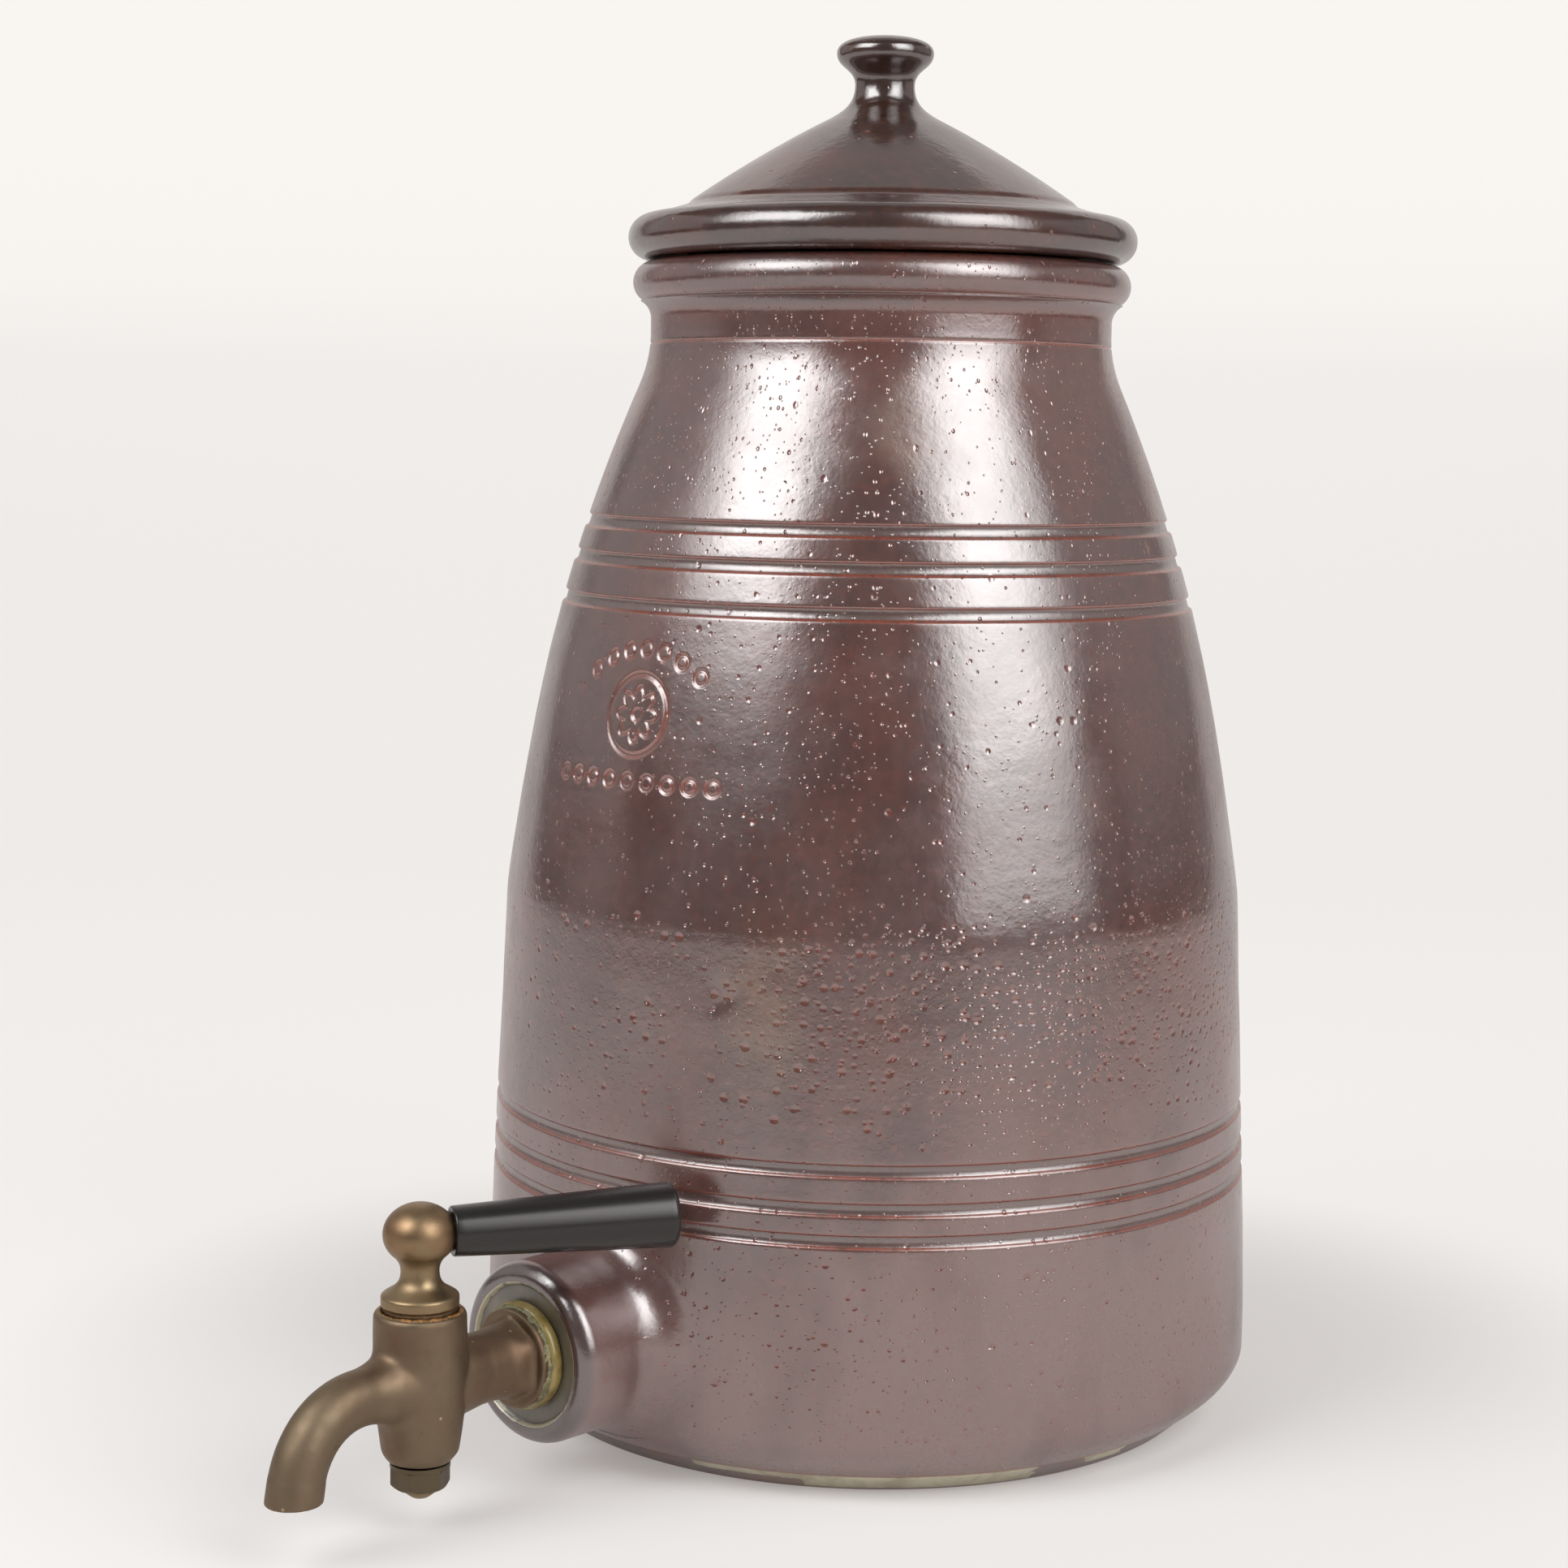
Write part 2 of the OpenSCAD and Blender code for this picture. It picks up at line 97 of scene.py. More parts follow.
def wall_r(z):
    """The wall's outer radius at height z."""
    return np.interp(z, body_line[:, 1], body_line[:, 0])


def wall_y(x, z):
    """How far from the pot's axis the wall stands on the tap's side, at x and z."""
    return np.sqrt(np.maximum(wall_r(z) ** 2 - x**2, 0))


# ---------------------------------------------------------------- mesh helpers


def mesh_object(name, co, faces, material, body, nodes=(), attributes=None):
    me = bpy.data.meshes.new(name)
    me.from_pydata([tuple(v) for v in np.asarray(co, float) * MM], [], faces.tolist())
    me.update()
    for key, values in (attributes or {}).items():
        layer = me.attributes.new(key, "FLOAT", "POINT")
        layer.data.foreach_set("value", np.asarray(values, np.float32))
    me.polygons.foreach_set("use_smooth", [True] * len(me.polygons))
    me.materials.append(material)
    ob = bpy.data.objects.new(name, me)
    bpy.context.scene.collection.objects.link(ob)
    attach(ob, body)
    if nodes:
        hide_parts(*nodes)
    return ob


def grid_faces(rows, cols, closed=True, flip=False):
    i = np.arange(rows - 1)[:, None]
    j = np.arange(cols if closed else cols - 1)[None, :]
    k = (j + 1) % cols
    corners = [i * cols + j, i * cols + k, (i + 1) * cols + k, (i + 1) * cols + j]
    quads = np.stack(corners, -1).reshape(-1, 4)
    return quads[:, ::-1] if flip else quads


def turned(profile, cols):
    """Points and faces of a profile of (r, z) turned about +Z, row after row."""
    p = np.asarray(profile, float)
    a = np.linspace(0, 2 * np.pi, cols, endpoint=False)
    co = np.stack([
        p[:, 0][:, None] * np.cos(a),
        p[:, 0][:, None] * np.sin(a),
        np.repeat(p[:, 1][:, None], cols, 1),
    ], -1)
    return co.reshape(-1, 3), grid_faces(len(p), cols)


def radius_of(co):
    return np.hypot(co[:, 0], co[:, 1])


def swell(co, by):
    """Moves each point out from the +Z axis by its own distance."""
    co[:, :2] *= (1 + by / np.maximum(radius_of(co), 1))[:, None]


def fbm(co, size, seed=0.0, octaves=2):
    """Smooth noise in -1..1 at each point, with features about size mm across."""
    out = np.empty(len(co))
    for i, p in enumerate(np.asarray(co, float) / size + seed):
        v = Vector(p)
        if octaves < 2:
            out[i] = noise.noise(v, noise_basis="PERLIN_NEW")
        else:
            out[i] = noise.fractal(v, 1.0, 2.0, octaves, noise_basis="PERLIN_NEW")
    return out


def along_tail(co):
    """Lays points drawn about +Z along the tap's tail, so that z is how far out they stand."""
    return np.stack([co[:, 0], -co[:, 2], co[:, 1] + TAP_Z], 1)


# ---------------------------------------------------------------- node helpers


class Nodes:
    """A material with a Principled shader, and short calls for the nodes that feed it."""

    def __init__(self, name):
        self.mat = bpy.data.materials.new(name)
        self.mat.use_nodes = True
        self.tree = self.mat.node_tree
        self.bsdf = self.tree.nodes["Principled BSDF"]
        self.coord = self.node("ShaderNodeTexCoord").outputs["Object"]

    def node(self, kind, **props):
        n = self.tree.nodes.new(kind)
        for k, v in props.items():
            setattr(n, k, v)
        return n

    def put(self, socket, value):
        if isinstance(value, bpy.types.NodeSocket):
            self.tree.links.new(value, socket)
        elif isinstance(value, (tuple, list)) and socket.type == "RGBA":
            socket.default_value = (*value[:3], 1)
        else:
            socket.default_value = value

    def noise(self, size, detail=3, rough=0.5, vector=None):
        """Noise about 0.5, with features about size mm across."""
        n = self.node("ShaderNodeTexNoise")
        self.put(n.inputs["Vector"], vector or self.coord)
        n.inputs["Scale"].default_value = 1 / (size * MM)
        n.inputs["Detail"].default_value = detail
        n.inputs["Roughness"].default_value = rough
        return n.outputs["Fac"]

    def cells(self, size, vector=None):
        """Distance to the nearest of points strewn about size mm apart, and its random values."""
        n = self.node("ShaderNodeTexVoronoi", voronoi_dimensions="2D" if vector else "3D")
        self.put(n.inputs["Vector"], vector or self.coord)
        n.inputs["Scale"].default_value = 1 / (size * MM)
        split = self.node("ShaderNodeSeparateColor")
        self.put(split.inputs[0], n.outputs["Color"])
        return n.outputs["Distance"], split.outputs

    def ramp(self, value, low, high, to_low=0.0, to_high=1.0):
        n = self.node("ShaderNodeMapRange", interpolation_type="SMOOTHSTEP")
        self.put(n.inputs["Value"], value)
        ends = (("From Min", low), ("From Max", high), ("To Min", to_low), ("To Max", to_high))
        for key, v in ends:
            self.put(n.inputs[key], v)
        return n.outputs["Result"]

    def patches(self, size, low, high, to_low=0.0, to_high=1.0, detail=3, rough=0.5):
        """Noise run through a ramp."""
        return self.ramp(self.noise(size, detail, rough), low, high, to_low, to_high)

    def math(self, op, a, b=0.0, c=0.0, clamp=False):
        n = self.node("ShaderNodeMath", operation=op, use_clamp=clamp)
        for s, v in zip(n.inputs, (a, b, c)):
            self.put(s, v)
        return n.outputs[0]

    def times(self, a, b):
        return self.math("MULTIPLY", a, b)

    def add_times(self, base, value, factor):
        """base + value * factor"""
        return self.math("MULTIPLY_ADD", value, factor, base)

    def most(self, a, b):
        return self.math("MAXIMUM", a, b)

    def less(self, a, b):
        return self.math("SUBTRACT", a, b)

    def mix(self, fac, a, b):
        n = self.node("ShaderNodeMix", data_type="RGBA", clamp_factor=True)
        self.put(n.inputs[0], fac)
        self.put(n.inputs[6], a)
        self.put(n.inputs[7], b)
        return n.outputs[2]

    def attribute(self, name):
        return self.node("ShaderNodeAttribute", attribute_name=name).outputs["Fac"]

    def axes(self):
        n = self.node("ShaderNodeSeparateXYZ")
        self.put(n.inputs[0], self.coord)
        return n.outputs

    def stretch(self, scale):
        n = self.node("ShaderNodeVectorMath", operation="MULTIPLY")
        self.put(n.inputs[0], self.coord)
        n.inputs[1].default_value = scale
        return n.outputs[0]

    def distance(self, vector, point):
        n = self.node("ShaderNodeVectorMath", operation="DISTANCE")
        self.put(n.inputs[0], vector)
        n.inputs[1].default_value = point
        return n.outputs["Value"]

    def bump(self, heights):
        """heights is a list of (height 0..1, its size in mm)."""
        normal = None
        for height, size in heights:
            n = self.node("ShaderNodeBump")
            n.inputs["Strength"].default_value = 1.0
            n.inputs["Distance"].default_value = size * MM
            self.put(n.inputs["Height"], height)
            if normal:
                self.put(n.inputs["Normal"], normal)
            normal = n.outputs["Normal"]
        self.put(self.bsdf.inputs["Normal"], normal)

    def set(self, **values):
        for k, v in values.items():
            self.put(self.bsdf.inputs[k.replace("_", " ")], v)
        return self.mat


# ---------------------------------------------------------------- glaze

GLAZE_TINT = (1.0, 0.94, 0.93)  # of its reflections
RUST = (0.2, 0.036, 0.015)
PIT_RED = (0.13, 0.028, 0.016)
GROOVE_GREY = (0.062, 0.046, 0.04)
PALE_CLOUD_AND_SHEEN = (0.14, 0.073, 0.065)
FACE_PAINTED_SHADE = (0.022, 0.013, 0.012)
# the colour of the painted tan reflections
REFLECTION_TAN = (0.17, 0.1, 0.057)
CLAY_PALE, CLAY_TAN, CLAY_RED = (0.4, 0.365, 0.25), (0.27, 0.235, 0.15), (0.14, 0.055, 0.035)
SLIP_GREY, SLIP_BROWN = (0.1, 0.072, 0.07), (0.13, 0.07, 0.05)
ASH_DARK, ASH_PALE = (0.045, 0.035, 0.018), (0.095, 0.075, 0.036)
CREAM = (0.58, 0.52, 0.35)

# places on the crock, in metres; a pair says where something starts and where it is in full
BOSS_ROOT_Y = (-0.098, -0.106)
BOSS_FACE_Y = (-0.1165, -0.1205)
BELT_FOOT_Z, BELT_TOP_Z = (0.083, 0.104), (0.14, 0.132)  # the belt of thick pits
BELT_SIDE = (0.755, 0.656)  # which way it faces: x and y
BELT_SIDE_FROM = (-0.048, -0.018)
CLOUD_AND_SHEEN_Z = (0.125, 0.05)
FRECKLE_Z = (0.2, 0.06)
UNDERSIDE_Z = (0.0012, 0.0005)
TAN_REFLECTIONS = (  # painted reflections: warm tan spots where the glaze mirrors something brown; place and reach
    ((0.048, -0.0452, 0.251), 0.011),
    ((0.0415, -0.0853, 0.117), 0.015),
)
REFLECTION_SQUASH = 0.5  # they reach twice as far up and down
UNROLL = 0.09  # metres of wall to a radian, for pits laid out on the unrolled wall

# pits: spacing in mm, share of the spots pitted in the belt and elsewhere, radius over spacing
BIG, MID, SEED = (4.0, 0.72, 0.05, 0.3), (2.4, 0.55, 0.28, 0.3), (1.6, 0.2, 0.42, 0.24)
FRECKLE_SPACING, FRECKLE_R = 3.4, 0.26
BIG_DEPTH, MID_DEPTH, SEED_HEIGHT = 0.155, 0.115, 0.065  # the seeds are fine pimples


def pits(m, spacing, chance, radius, channel, flat):
    """Round pits: how far into one each point lies, 0 to 1, and the stain in its middle."""
    far, own = m.cells(spacing, flat)
    here = m.math("LESS_THAN", own[channel], chance)
    width = m.add_times(0.6, own[(channel + 1) % 3], 0.5)
    far = m.math("DIVIDE", far, width)
    deep = m.times(m.ramp(far, radius, 0.1 * radius), here)
    stain = m.times(m.ramp(far, 0.95 * radius, 0.55 * radius), here)
    return deep, stain


def unrolled(m, x, y, z):
    """The wall laid flat: length round the pot from the tap's line, and height."""
    flat = m.node("ShaderNodeCombineXYZ")
    m.put(flat.inputs[0], m.times(m.math("ARCTAN2", x, m.times(y, -1.0)), UNROLL))
    m.put(flat.inputs[1], z)
    return flat.outputs[0]


def foot_clay(m, z):
    """Pale clay where the slip missed the foot, and dark slip round it."""
    pale = m.mix(m.patches(9, 0.4, 0.62, detail=4, rough=0.6), CLAY_PALE, CLAY_TAN)
    slip = m.mix(m.patches(12, 0.4, 0.65), SLIP_GREY, SLIP_BROWN)
    ragged = m.add_times(m.attribute("clay"), m.noise(7, 4, 0.7), 0.7)
    clay = m.mix(m.ramp(ragged, 0.8, 0.84), slip, pale)
    return m.mix(m.ramp(z, *UNDERSIDE_Z), clay, CLAY_RED)


def glaze(name, dark, warm, rough, ior, pitted=1.0, on_crock=False):
    m = Nodes(name)
    x, y, z = m.axes()
    colour = m.mix(m.patches(48, 0.38, 0.66, detail=4, rough=0.6), dark, warm)
    colour = m.mix(m.patches(8, 0.52, 0.75, 0, 0.25, rough=0.6), colour, warm)
    leather = m.noise(2.4, 2, 0.55)
    colour = m.mix(m.ramp(leather, 0.5, 0.68, 0, 0.2), colour, tuple(1.7 * c for c in warm))
    colour = m.mix(m.ramp(leather, 0.46, 0.32, 0, 0.2), colour, tuple(0.45 * c for c in dark))
    flat = None
    if on_crock:
        # the glaze lies paler and cloudier toward the foot; the pale streaks are also a painted
        # sheen for the soft reflections low on the wall
        cloud_and_sheen = m.ramp(m.noise(30, 3, 0.55, m.stretch((1.0, 1.0, 0.4))), 0.4, 0.6, 0.0, 0.65)
        cloud_and_sheen = m.times(cloud_and_sheen, m.ramp(z, *CLOUD_AND_SHEEN_Z, 0.1, 1.0))
        colour = m.mix(cloud_and_sheen, colour, PALE_CLOUD_AND_SHEEN)
        flat = unrolled(m, x, y, z)
        boss = m.ramp(y, *BOSS_ROOT_Y)
        pitted = m.less(pitted, boss)

    # pits are thick in one belt on the side away from the tap, and thin elsewhere
    side = m.add_times(m.times(y, BELT_SIDE[1]), x, BELT_SIDE[0])
    belt = m.times(m.ramp(z, *BELT_FOOT_Z), m.ramp(z, *BELT_TOP_Z))
    belt = m.times(belt, m.ramp(side, *BELT_SIDE_FROM, 0.15, 1.0))
    belt = m.times(belt, m.patches(30, 0.3, 0.5, 0.45, 1.0, detail=2))
    if on_crock:
        belt = m.times(belt, m.less(1.0, boss))
    loose = m.times(m.patches(55, 0.36, 0.62, 0.25, 0.6, detail=2), pitted)
    kinds = []
    for channel, (spacing, in_belt, elsewhere, radius) in enumerate((BIG, MID, SEED)):
        chance = m.add_times(m.times(loose, elsewhere), belt, in_belt)
        kinds.append(pits(m, spacing, chance, radius, channel, flat))
    (big, big_stain), (mid, mid_stain), (seed, seed_stain) = kinds
    stain = m.most(m.most(big_stain, mid_stain), m.times(seed_stain, 0.5))
    stain = m.times(stain, m.patches(5, 0.35, 0.65, 0.5, 1.0, detail=2))
    if on_crock:
        # flat red freckles, mostly low on the wall
        chance = m.ramp(z, *FRECKLE_Z, 0.1, 0.5)
        _, freckle = pits(m, FRECKLE_SPACING, chance, FRECKLE_R, 2, flat)
        stain = m.most(stain, m.times(freckle, m.patches(19, 0.35, 0.6, 0.1, 0.5, detail=2)))
    colour = m.mix(stain, colour, PIT_RED)

    # the glaze breaks red on sharp edges and lies greyer in the turned bands
    broken = m.patches(2.6, 0.3, 0.55, 0.35, 1.0, rough=0.6)
    edge = m.math("MULTIPLY", m.attribute("wear"), broken, clamp=True)
    groove = m.attribute("groove")
    colour = m.mix(m.times(groove, 0.5), colour, GROOVE_GREY)
    colour = m.mix(edge, colour, RUST)
    roughness = m.patches(30, 0.3, 0.7, *rough)
    fine = m.patches(5, 0.3, 0.7, -0.015, 0.015, rough=0.6)
    roughness = m.math("ADD", roughness, fine)
    roughness = m.add_times(roughness, groove, 0.03)
    roughness = m.add_times(roughness, edge, 0.06)
    roughness = m.add_times(roughness, stain, -0.04)

    if on_crock:
        # the boss's front face is darkened in patches: painted shade for the dark it mirrors
        face = m.times(m.ramp(y, *BOSS_FACE_Y), m.patches(16, 0.35, 0.6, 1.0, 0.7))
        colour = m.mix(face, colour, FACE_PAINTED_SHADE)
        # warm tan spots painted on the glaze as reflections of something brown
        upright = m.stretch((1.0, 1.0, REFLECTION_SQUASH))
        for (at_x, at_y, at_z), reach in TAN_REFLECTIONS:
            away = m.distance(upright, (at_x, at_y, REFLECTION_SQUASH * at_z))
            painted_reflection = m.times(m.ramp(away, reach, 0.1 * reach), m.patches(9, 0.35, 0.6, 0.1, 0.45))
            colour = m.mix(painted_reflection, colour, REFLECTION_TAN)
        bare = m.attribute("bare")
        colour = m.mix(bare, colour, foot_clay(m, z))
        roughness = m.add_times(roughness, bare, 0.3)
        dish = m.attribute("dish")
        roughness = m.add_times(roughness, dish, 0.25)
        ash = m.mix(m.patches(7, 0.35, 0.65, detail=4, rough=0.6), ASH_DARK, ASH_PALE)
        colour = m.mix(dish, colour, ash)
        ragged = m.add_times(m.attribute("cream"), m.noise(6, 4, 0.7), 1.0)
        line = m.times(m.ramp(ragged, 0.9, 1.05), m.patches(3, 0.35, 0.5, 0.3, 1.0))
        colour = m.mix(line, colour, CREAM)

    m.bump([
        (m.noise(13, 2, 0.5), 0.09),
        (leather, 0.055),
        (m.noise(0.9, 2, 0.6), 0.025),
        (m.less(1.0, big), BIG_DEPTH),
        (m.less(1.0, mid), MID_DEPTH),
        (seed, SEED_HEIGHT),
    ])
    return m.set(Base_Color=colour, Roughness=roughness, IOR=ior, Specular_Tint=GLAZE_TINT)


crock_mat = glaze("crock_glaze", dark=(0.054, 0.0215, 0.018), warm=(0.09, 0.028, 0.0202),
                  rough=(0.2, 0.3), ior=2.45, on_crock=True)
lid_mat = glaze("lid_glaze", dark=(0.026, 0.012, 0.009), warm=(0.064, 0.02, 0.0125),
                rough=(0.15, 0.23), ior=2.2, pitted=0.35)

# ---------------------------------------------------------------- metal, rubber and the rest

TARNISH = (0.13, 0.095, 0.055)
BRIGHT_BRASS = (0.62, 0.5, 0.3)  # laid bare by knocks
DING_SPACING, DING_SHARE, DING_DEPTH = 3.2, 0.09, 0.12


def brass(name, base, warm, rough, dings=1.0):
    """Aged brass; dings is how many knocks it has beside the tap's body."""
    m = Nodes(name)
    colour = m.mix(m.patches(22, 0.42, 0.68, detail=4, rough=0.6), base, warm)
    tarnish = m.patches(5, 0.55, 0.75, 0, 0.45, detail=5, rough=0.65)
    colour = m.mix(tarnish, colour, TARNISH)
    far, own = m.cells(DING_SPACING)
    here = m.math("LESS_THAN", own[0], DING_SHARE * dings)
    ding = m.times(m.ramp(far, 0.17, 0.04), here)
    colour = m.mix(m.times(ding, 0.55), colour, BRIGHT_BRASS)
    m.bump([(m.noise(9, 2), 0.12), (m.noise(0.7, 3, 0.6), 0.012), (m.less(1.0, ding), DING_DEPTH)])
    roughness = m.patches(6, 0.3, 0.7, *rough, detail=4, rough=0.6)
    return m.set(Base_Color=colour, Metallic=1.0, Roughness=roughness)


def two_tone(name, one, other, patches, grain, depth, roughness):
    """Two colours in patches over a grain. patches and grain say how their noise is made."""
    m = Nodes(name)
    colour = m.mix(m.patches(**patches), one, other)
    m.bump([(m.noise(**grain), depth)])
    return m.set(Base_Color=colour, Roughness=roughness)


def plain(name, colour, rough, metal=0.0):
    m = Nodes(name)
    spot = m.mix(m.patches(6, 0.35, 0.7), colour, tuple(c * 0.7 for c in colour))
    m.bump([(m.noise(1.2, 3), 0.01)])
    roughness = m.patches(9, 0.3, 0.7, rough, rough + 0.1)
    return m.set(Base_Color=spot, Roughness=roughness, Metallic=metal)


def grip_material():
    """Black plastic with a little dust, scratched along its length."""
    m = Nodes("grip_black")
    scratch = m.noise(3, 4, 0.7, m.stretch((1, 0.06, 1)))
    m.bump([(m.noise(0.9, 3, 0.6), 0.004)])
    dust = m.patches(12, 0.55, 0.75, 0, 0.12, detail=4, rough=0.7)
    colour = m.mix(dust, (0.013, 0.011, 0.011), (0.05, 0.047, 0.045))
    roughness = m.ramp(scratch, 0.3, 0.7, 0.26, 0.3)
    return m.set(Base_Color=colour, Roughness=roughness, Specular_Tint=(1.0, 0.93, 0.9))


tap_mat = brass("tap_brass", (0.2, 0.145, 0.095), (0.19, 0.118, 0.077), (0.49, 0.61))
plug_mat = brass("plug_brass", (0.275, 0.195, 0.112), (0.255, 0.155, 0.088), (0.39, 0.51), 1.2)
nut_mat = brass("nut_brass", (0.13, 0.1, 0.065), (0.1, 0.07, 0.05), (0.36, 0.5))
clean_mat = brass("clean_brass", (0.45, 0.34, 0.16), (0.36, 0.25, 0.12), (0.3, 0.42), 0.3)
grip_mat = grip_material()
seal_mat = two_tone("amber_rubber", (0.155, 0.11, 0.03), (0.28, 0.205, 0.068),
                    dict(size=5, low=0.35, high=0.65, detail=4, rough=0.6), dict(size=2), 0.12, 0.2)
crust_mat = two_tone("crust", (0.24, 0.21, 0.11), (0.12, 0.11, 0.055),
                     dict(size=2.2, low=0.4, high=0.6, detail=4, rough=0.7),
                     dict(size=0.8, detail=4, rough=0.7), 0.25, 0.6)
grease_mat = two_tone("grease", (0.3, 0.13, 0.03), (0.07, 0.045, 0.02),
                      dict(size=1.6, low=0.4, high=0.62, detail=4, rough=0.7),
                      dict(size=0.7, detail=4, rough=0.7), 0.2, 0.5)
rubber_mat = plain("black_rubber", (0.02, 0.02, 0.02), 0.5)
steel_mat = plain("rod_steel", (0.14, 0.125, 0.105), 0.3, 1.0)

# ---------------------------------------------------------------- crock: its turned outline

COLS = 900
BANDS = (63.6, 71.1, 80.1, 207.3, 217.7, 226.4)
BAND_HALF, BAND_D = 1.5, 0.8
BAND_CLEAR = 0.9  # the wall's own rows stay this far off a band
BAND_EDGE = (  # distance in from the band's edge, depth, wear, groove
    (-0.8, 0, 0, 0), (-0.4, 0.02, 0.15, 0), (-0.1, 0.12, 1, 0), (0.15, 0.5, 0.8, 0.3),
    (0.45, BAND_D, 0.1, 1),
)
NECK_LINE = (  # a fine line cut under the rim: height, depth, wear
    (270.4, 0.0, 0), (270.65, 0.08, 0.6), (270.9, 0.3, 1), (271.15, 0.08, 0.6), (271.4, 0.0, 0),
)
SHOULDER_SOFT, SHOULDER_SOFT_D = 2.2, 0.1  # a faint line where two throwing passes meet
RIM_HOLLOW, RIM_HOLLOW_R = (63.6, 277.11), 5.0
LIP = ((56, 291.5), (54.2, 291.4), (53.1, 291.2), (52, 290.3), (51, 289), (MOUTH_R, 287.5))
LAST_STILL_ROW = 12  # the rows up to this one, round the underside, are left as they are
rows = []  # r, z, wear, groove, bare


def add(r, z, wear=0.0, groove=0.0, bare=0.0):
    rows.append((r, z, wear, groove, bare))


for r in (0.5, 30, 60, 75, 82):
    add(r, 0, bare=1)
for r, z in ((83.6, 0.0), (84.3, 0.15), (84.7, 0.6)):
    add(r, z, bare=1)
for t in np.linspace(0.1, 1, 8):
    add(84.5 + 5.7 * t, 5.0 * t, bare=1)
add(90.35, 5.25, wear=0.2, bare=0.6)
add(90.7, 5.35, wear=1)
add(90.95, FOOT_EDGE[1], wear=1)

wall_z = np.concatenate([np.arange(6.0, 18, 0.6), np.arange(18, NECK_TOP, 1.0)])
band_rows = {}
for b in BANDS:
    below, above = b - BAND_HALF - BAND_CLEAR, b + BAND_HALF + BAND_CLEAR
    wall_z = wall_z[(wall_z <= below) | (wall_z >= above)]
    band_rows[b] = (BAND_D, 0, 1)
    for into, d, wear, groove in BAND_EDGE:
        for way in (-1, 1):
            band_rows[b + way * (BAND_HALF - into)] = (d, wear, groove)
for z in sorted([*wall_z, *band_rows]):
    d, wear, groove = band_rows.get(z, (0, 0, 0))
    soft = math.exp(-(((z - SHOULDER_Z) / SHOULDER_SOFT) ** 2)) * SHOULDER_SOFT_D
    add(wall_r(z) - d - soft, z, wear, groove)
for z in np.arange(NECK_TOP, 270.2, 0.8):
    add(wall_r(z), z)
for z, d, wear in NECK_LINE:
    add(wall_r(z) - d, z, wear)
for z in (272.0, 272.8, 273.5):
    add(wall_r(z), z)
for r, z in arc(RIM_HOLLOW, RIM_HOLLOW_R, 180, 180 + RIM_START, 14):
    add(r, z, 0.15 if z < 279 else 0)
for r, z in arc(RIM, RIM_R, RIM_START, 90, 26)[1:]:
    add(r, z, 0.3 if z < 283.2 else 0)
for r, z in LIP:
    add(r, z)
for z in (284, 280, 276, 273):
    add(MOUTH_R, z)
for z in np.linspace(270, 140, 40):
    add(wall_r(z) - WALL + 0.04 * max(0, math.cos((z - SHOULDER_Z) / 6)), z)
for z in np.linspace(SHOULDER_Z, 22, 30):
    add(wall_r(z) - WALL, z)
for r, z in arc((79.8, FLOOR_TOP + FLOOR_CORNER), FLOOR_CORNER, 0, -90, 8)[1:]:
    add(r, z)
for r in (60, 40, 20, 0.5):
    add(r, FLOOR_TOP)

profile = np.array(rows)
height = profile[:, 1]
last_outer = int(np.argmax(height))
co, faces = turned(profile[:, :2], COLS)
row_of = np.repeat(np.arange(len(profile)), COLS)

# ---------------------------------------------------------------- crock: the thrown wall

DENT_TURN, DENT_Z = 20.0, 117.8  # a thumbed dent: degrees from the tap, and height
DENT_D = 0.42
DEGREE = 1.66  # mm of wall to a degree there


def thrown(p):
    """How far the thrower's hand and the fire moved each point of the wall; never outward."""
    lump = 0.13 * (fbm(p, 34, 3.1) - 0.9) + 0.05 * (fbm(p, 13, 7.7, 1) - 0.9)
    up = np.stack([p[:, 2], 0 * p[:, 2], 0 * p[:, 2]], 1)
    rings = 0.04 * (fbm(up, 7.0, 4.2, 1) - 1)
    u = (np.degrees(np.arctan2(p[:, 0], -p[:, 1])) - DENT_TURN) * DEGREE
    v = p[:, 2] - DENT_Z
    lean_u, lean_v = 0.8 * u + 0.6 * v, 0.8 * v - 0.6 * u
    dent = np.exp(-((lean_u / 3.2) ** 2) - (lean_v / 1.7) ** 2)
    dent += 0.6 * np.exp(-((u + 1.5) ** 2 + (v - 3) ** 2) / 5)
    calm = np.clip((p[:, 2] - 5) / 8, 0, 1)
    return (lump + rings) * calm - DENT_D * dent


on_wall = (row_of > LAST_STILL_ROW) & (row_of <= last_outer + 2)
wall = co[on_wall]
swell(wall, thrown(wall))
co[on_wall] = wall

# ---------------------------------------------------------------- crock: the stamp over the tap

# It was pressed in the wet clay: a rosette in a ring, between two rows of small rings.
STAMP_Z, STAMP_LOW, STAMP_HIGH = 182.0, 161.0, 203.0
STAMP_HALF_COLS, STAMP_COLS, STAMP_STEP = 53, 253, 0.25
STAMP_R = 86.1  # the wall's radius there
RING_R, RING_HALF, RING_D = 9.6, 0.75, 0.5
PETALS, PETAL_R, PETAL_REACH, PETAL_HALF, PETAL_D = 4, 3.9, 2.6, 0.6, 0.4
EYE_R, EYE_HALF, EYE_D = 1.0, 0.7, 0.45
DOT_R, DOT_HALF, DOT_D = 1.7, 0.55, 0.42
DOT_ROWS = ((7, 15.4, -0.018, 6.0), (9, -15.6, 0.0, 6.1))  # count, height, bow, pitch


def pressed(distance, half, depth):
    """A pressed line with sloping sides."""
    return depth * np.clip(1.25 - np.abs(distance) / half, 0, 1)


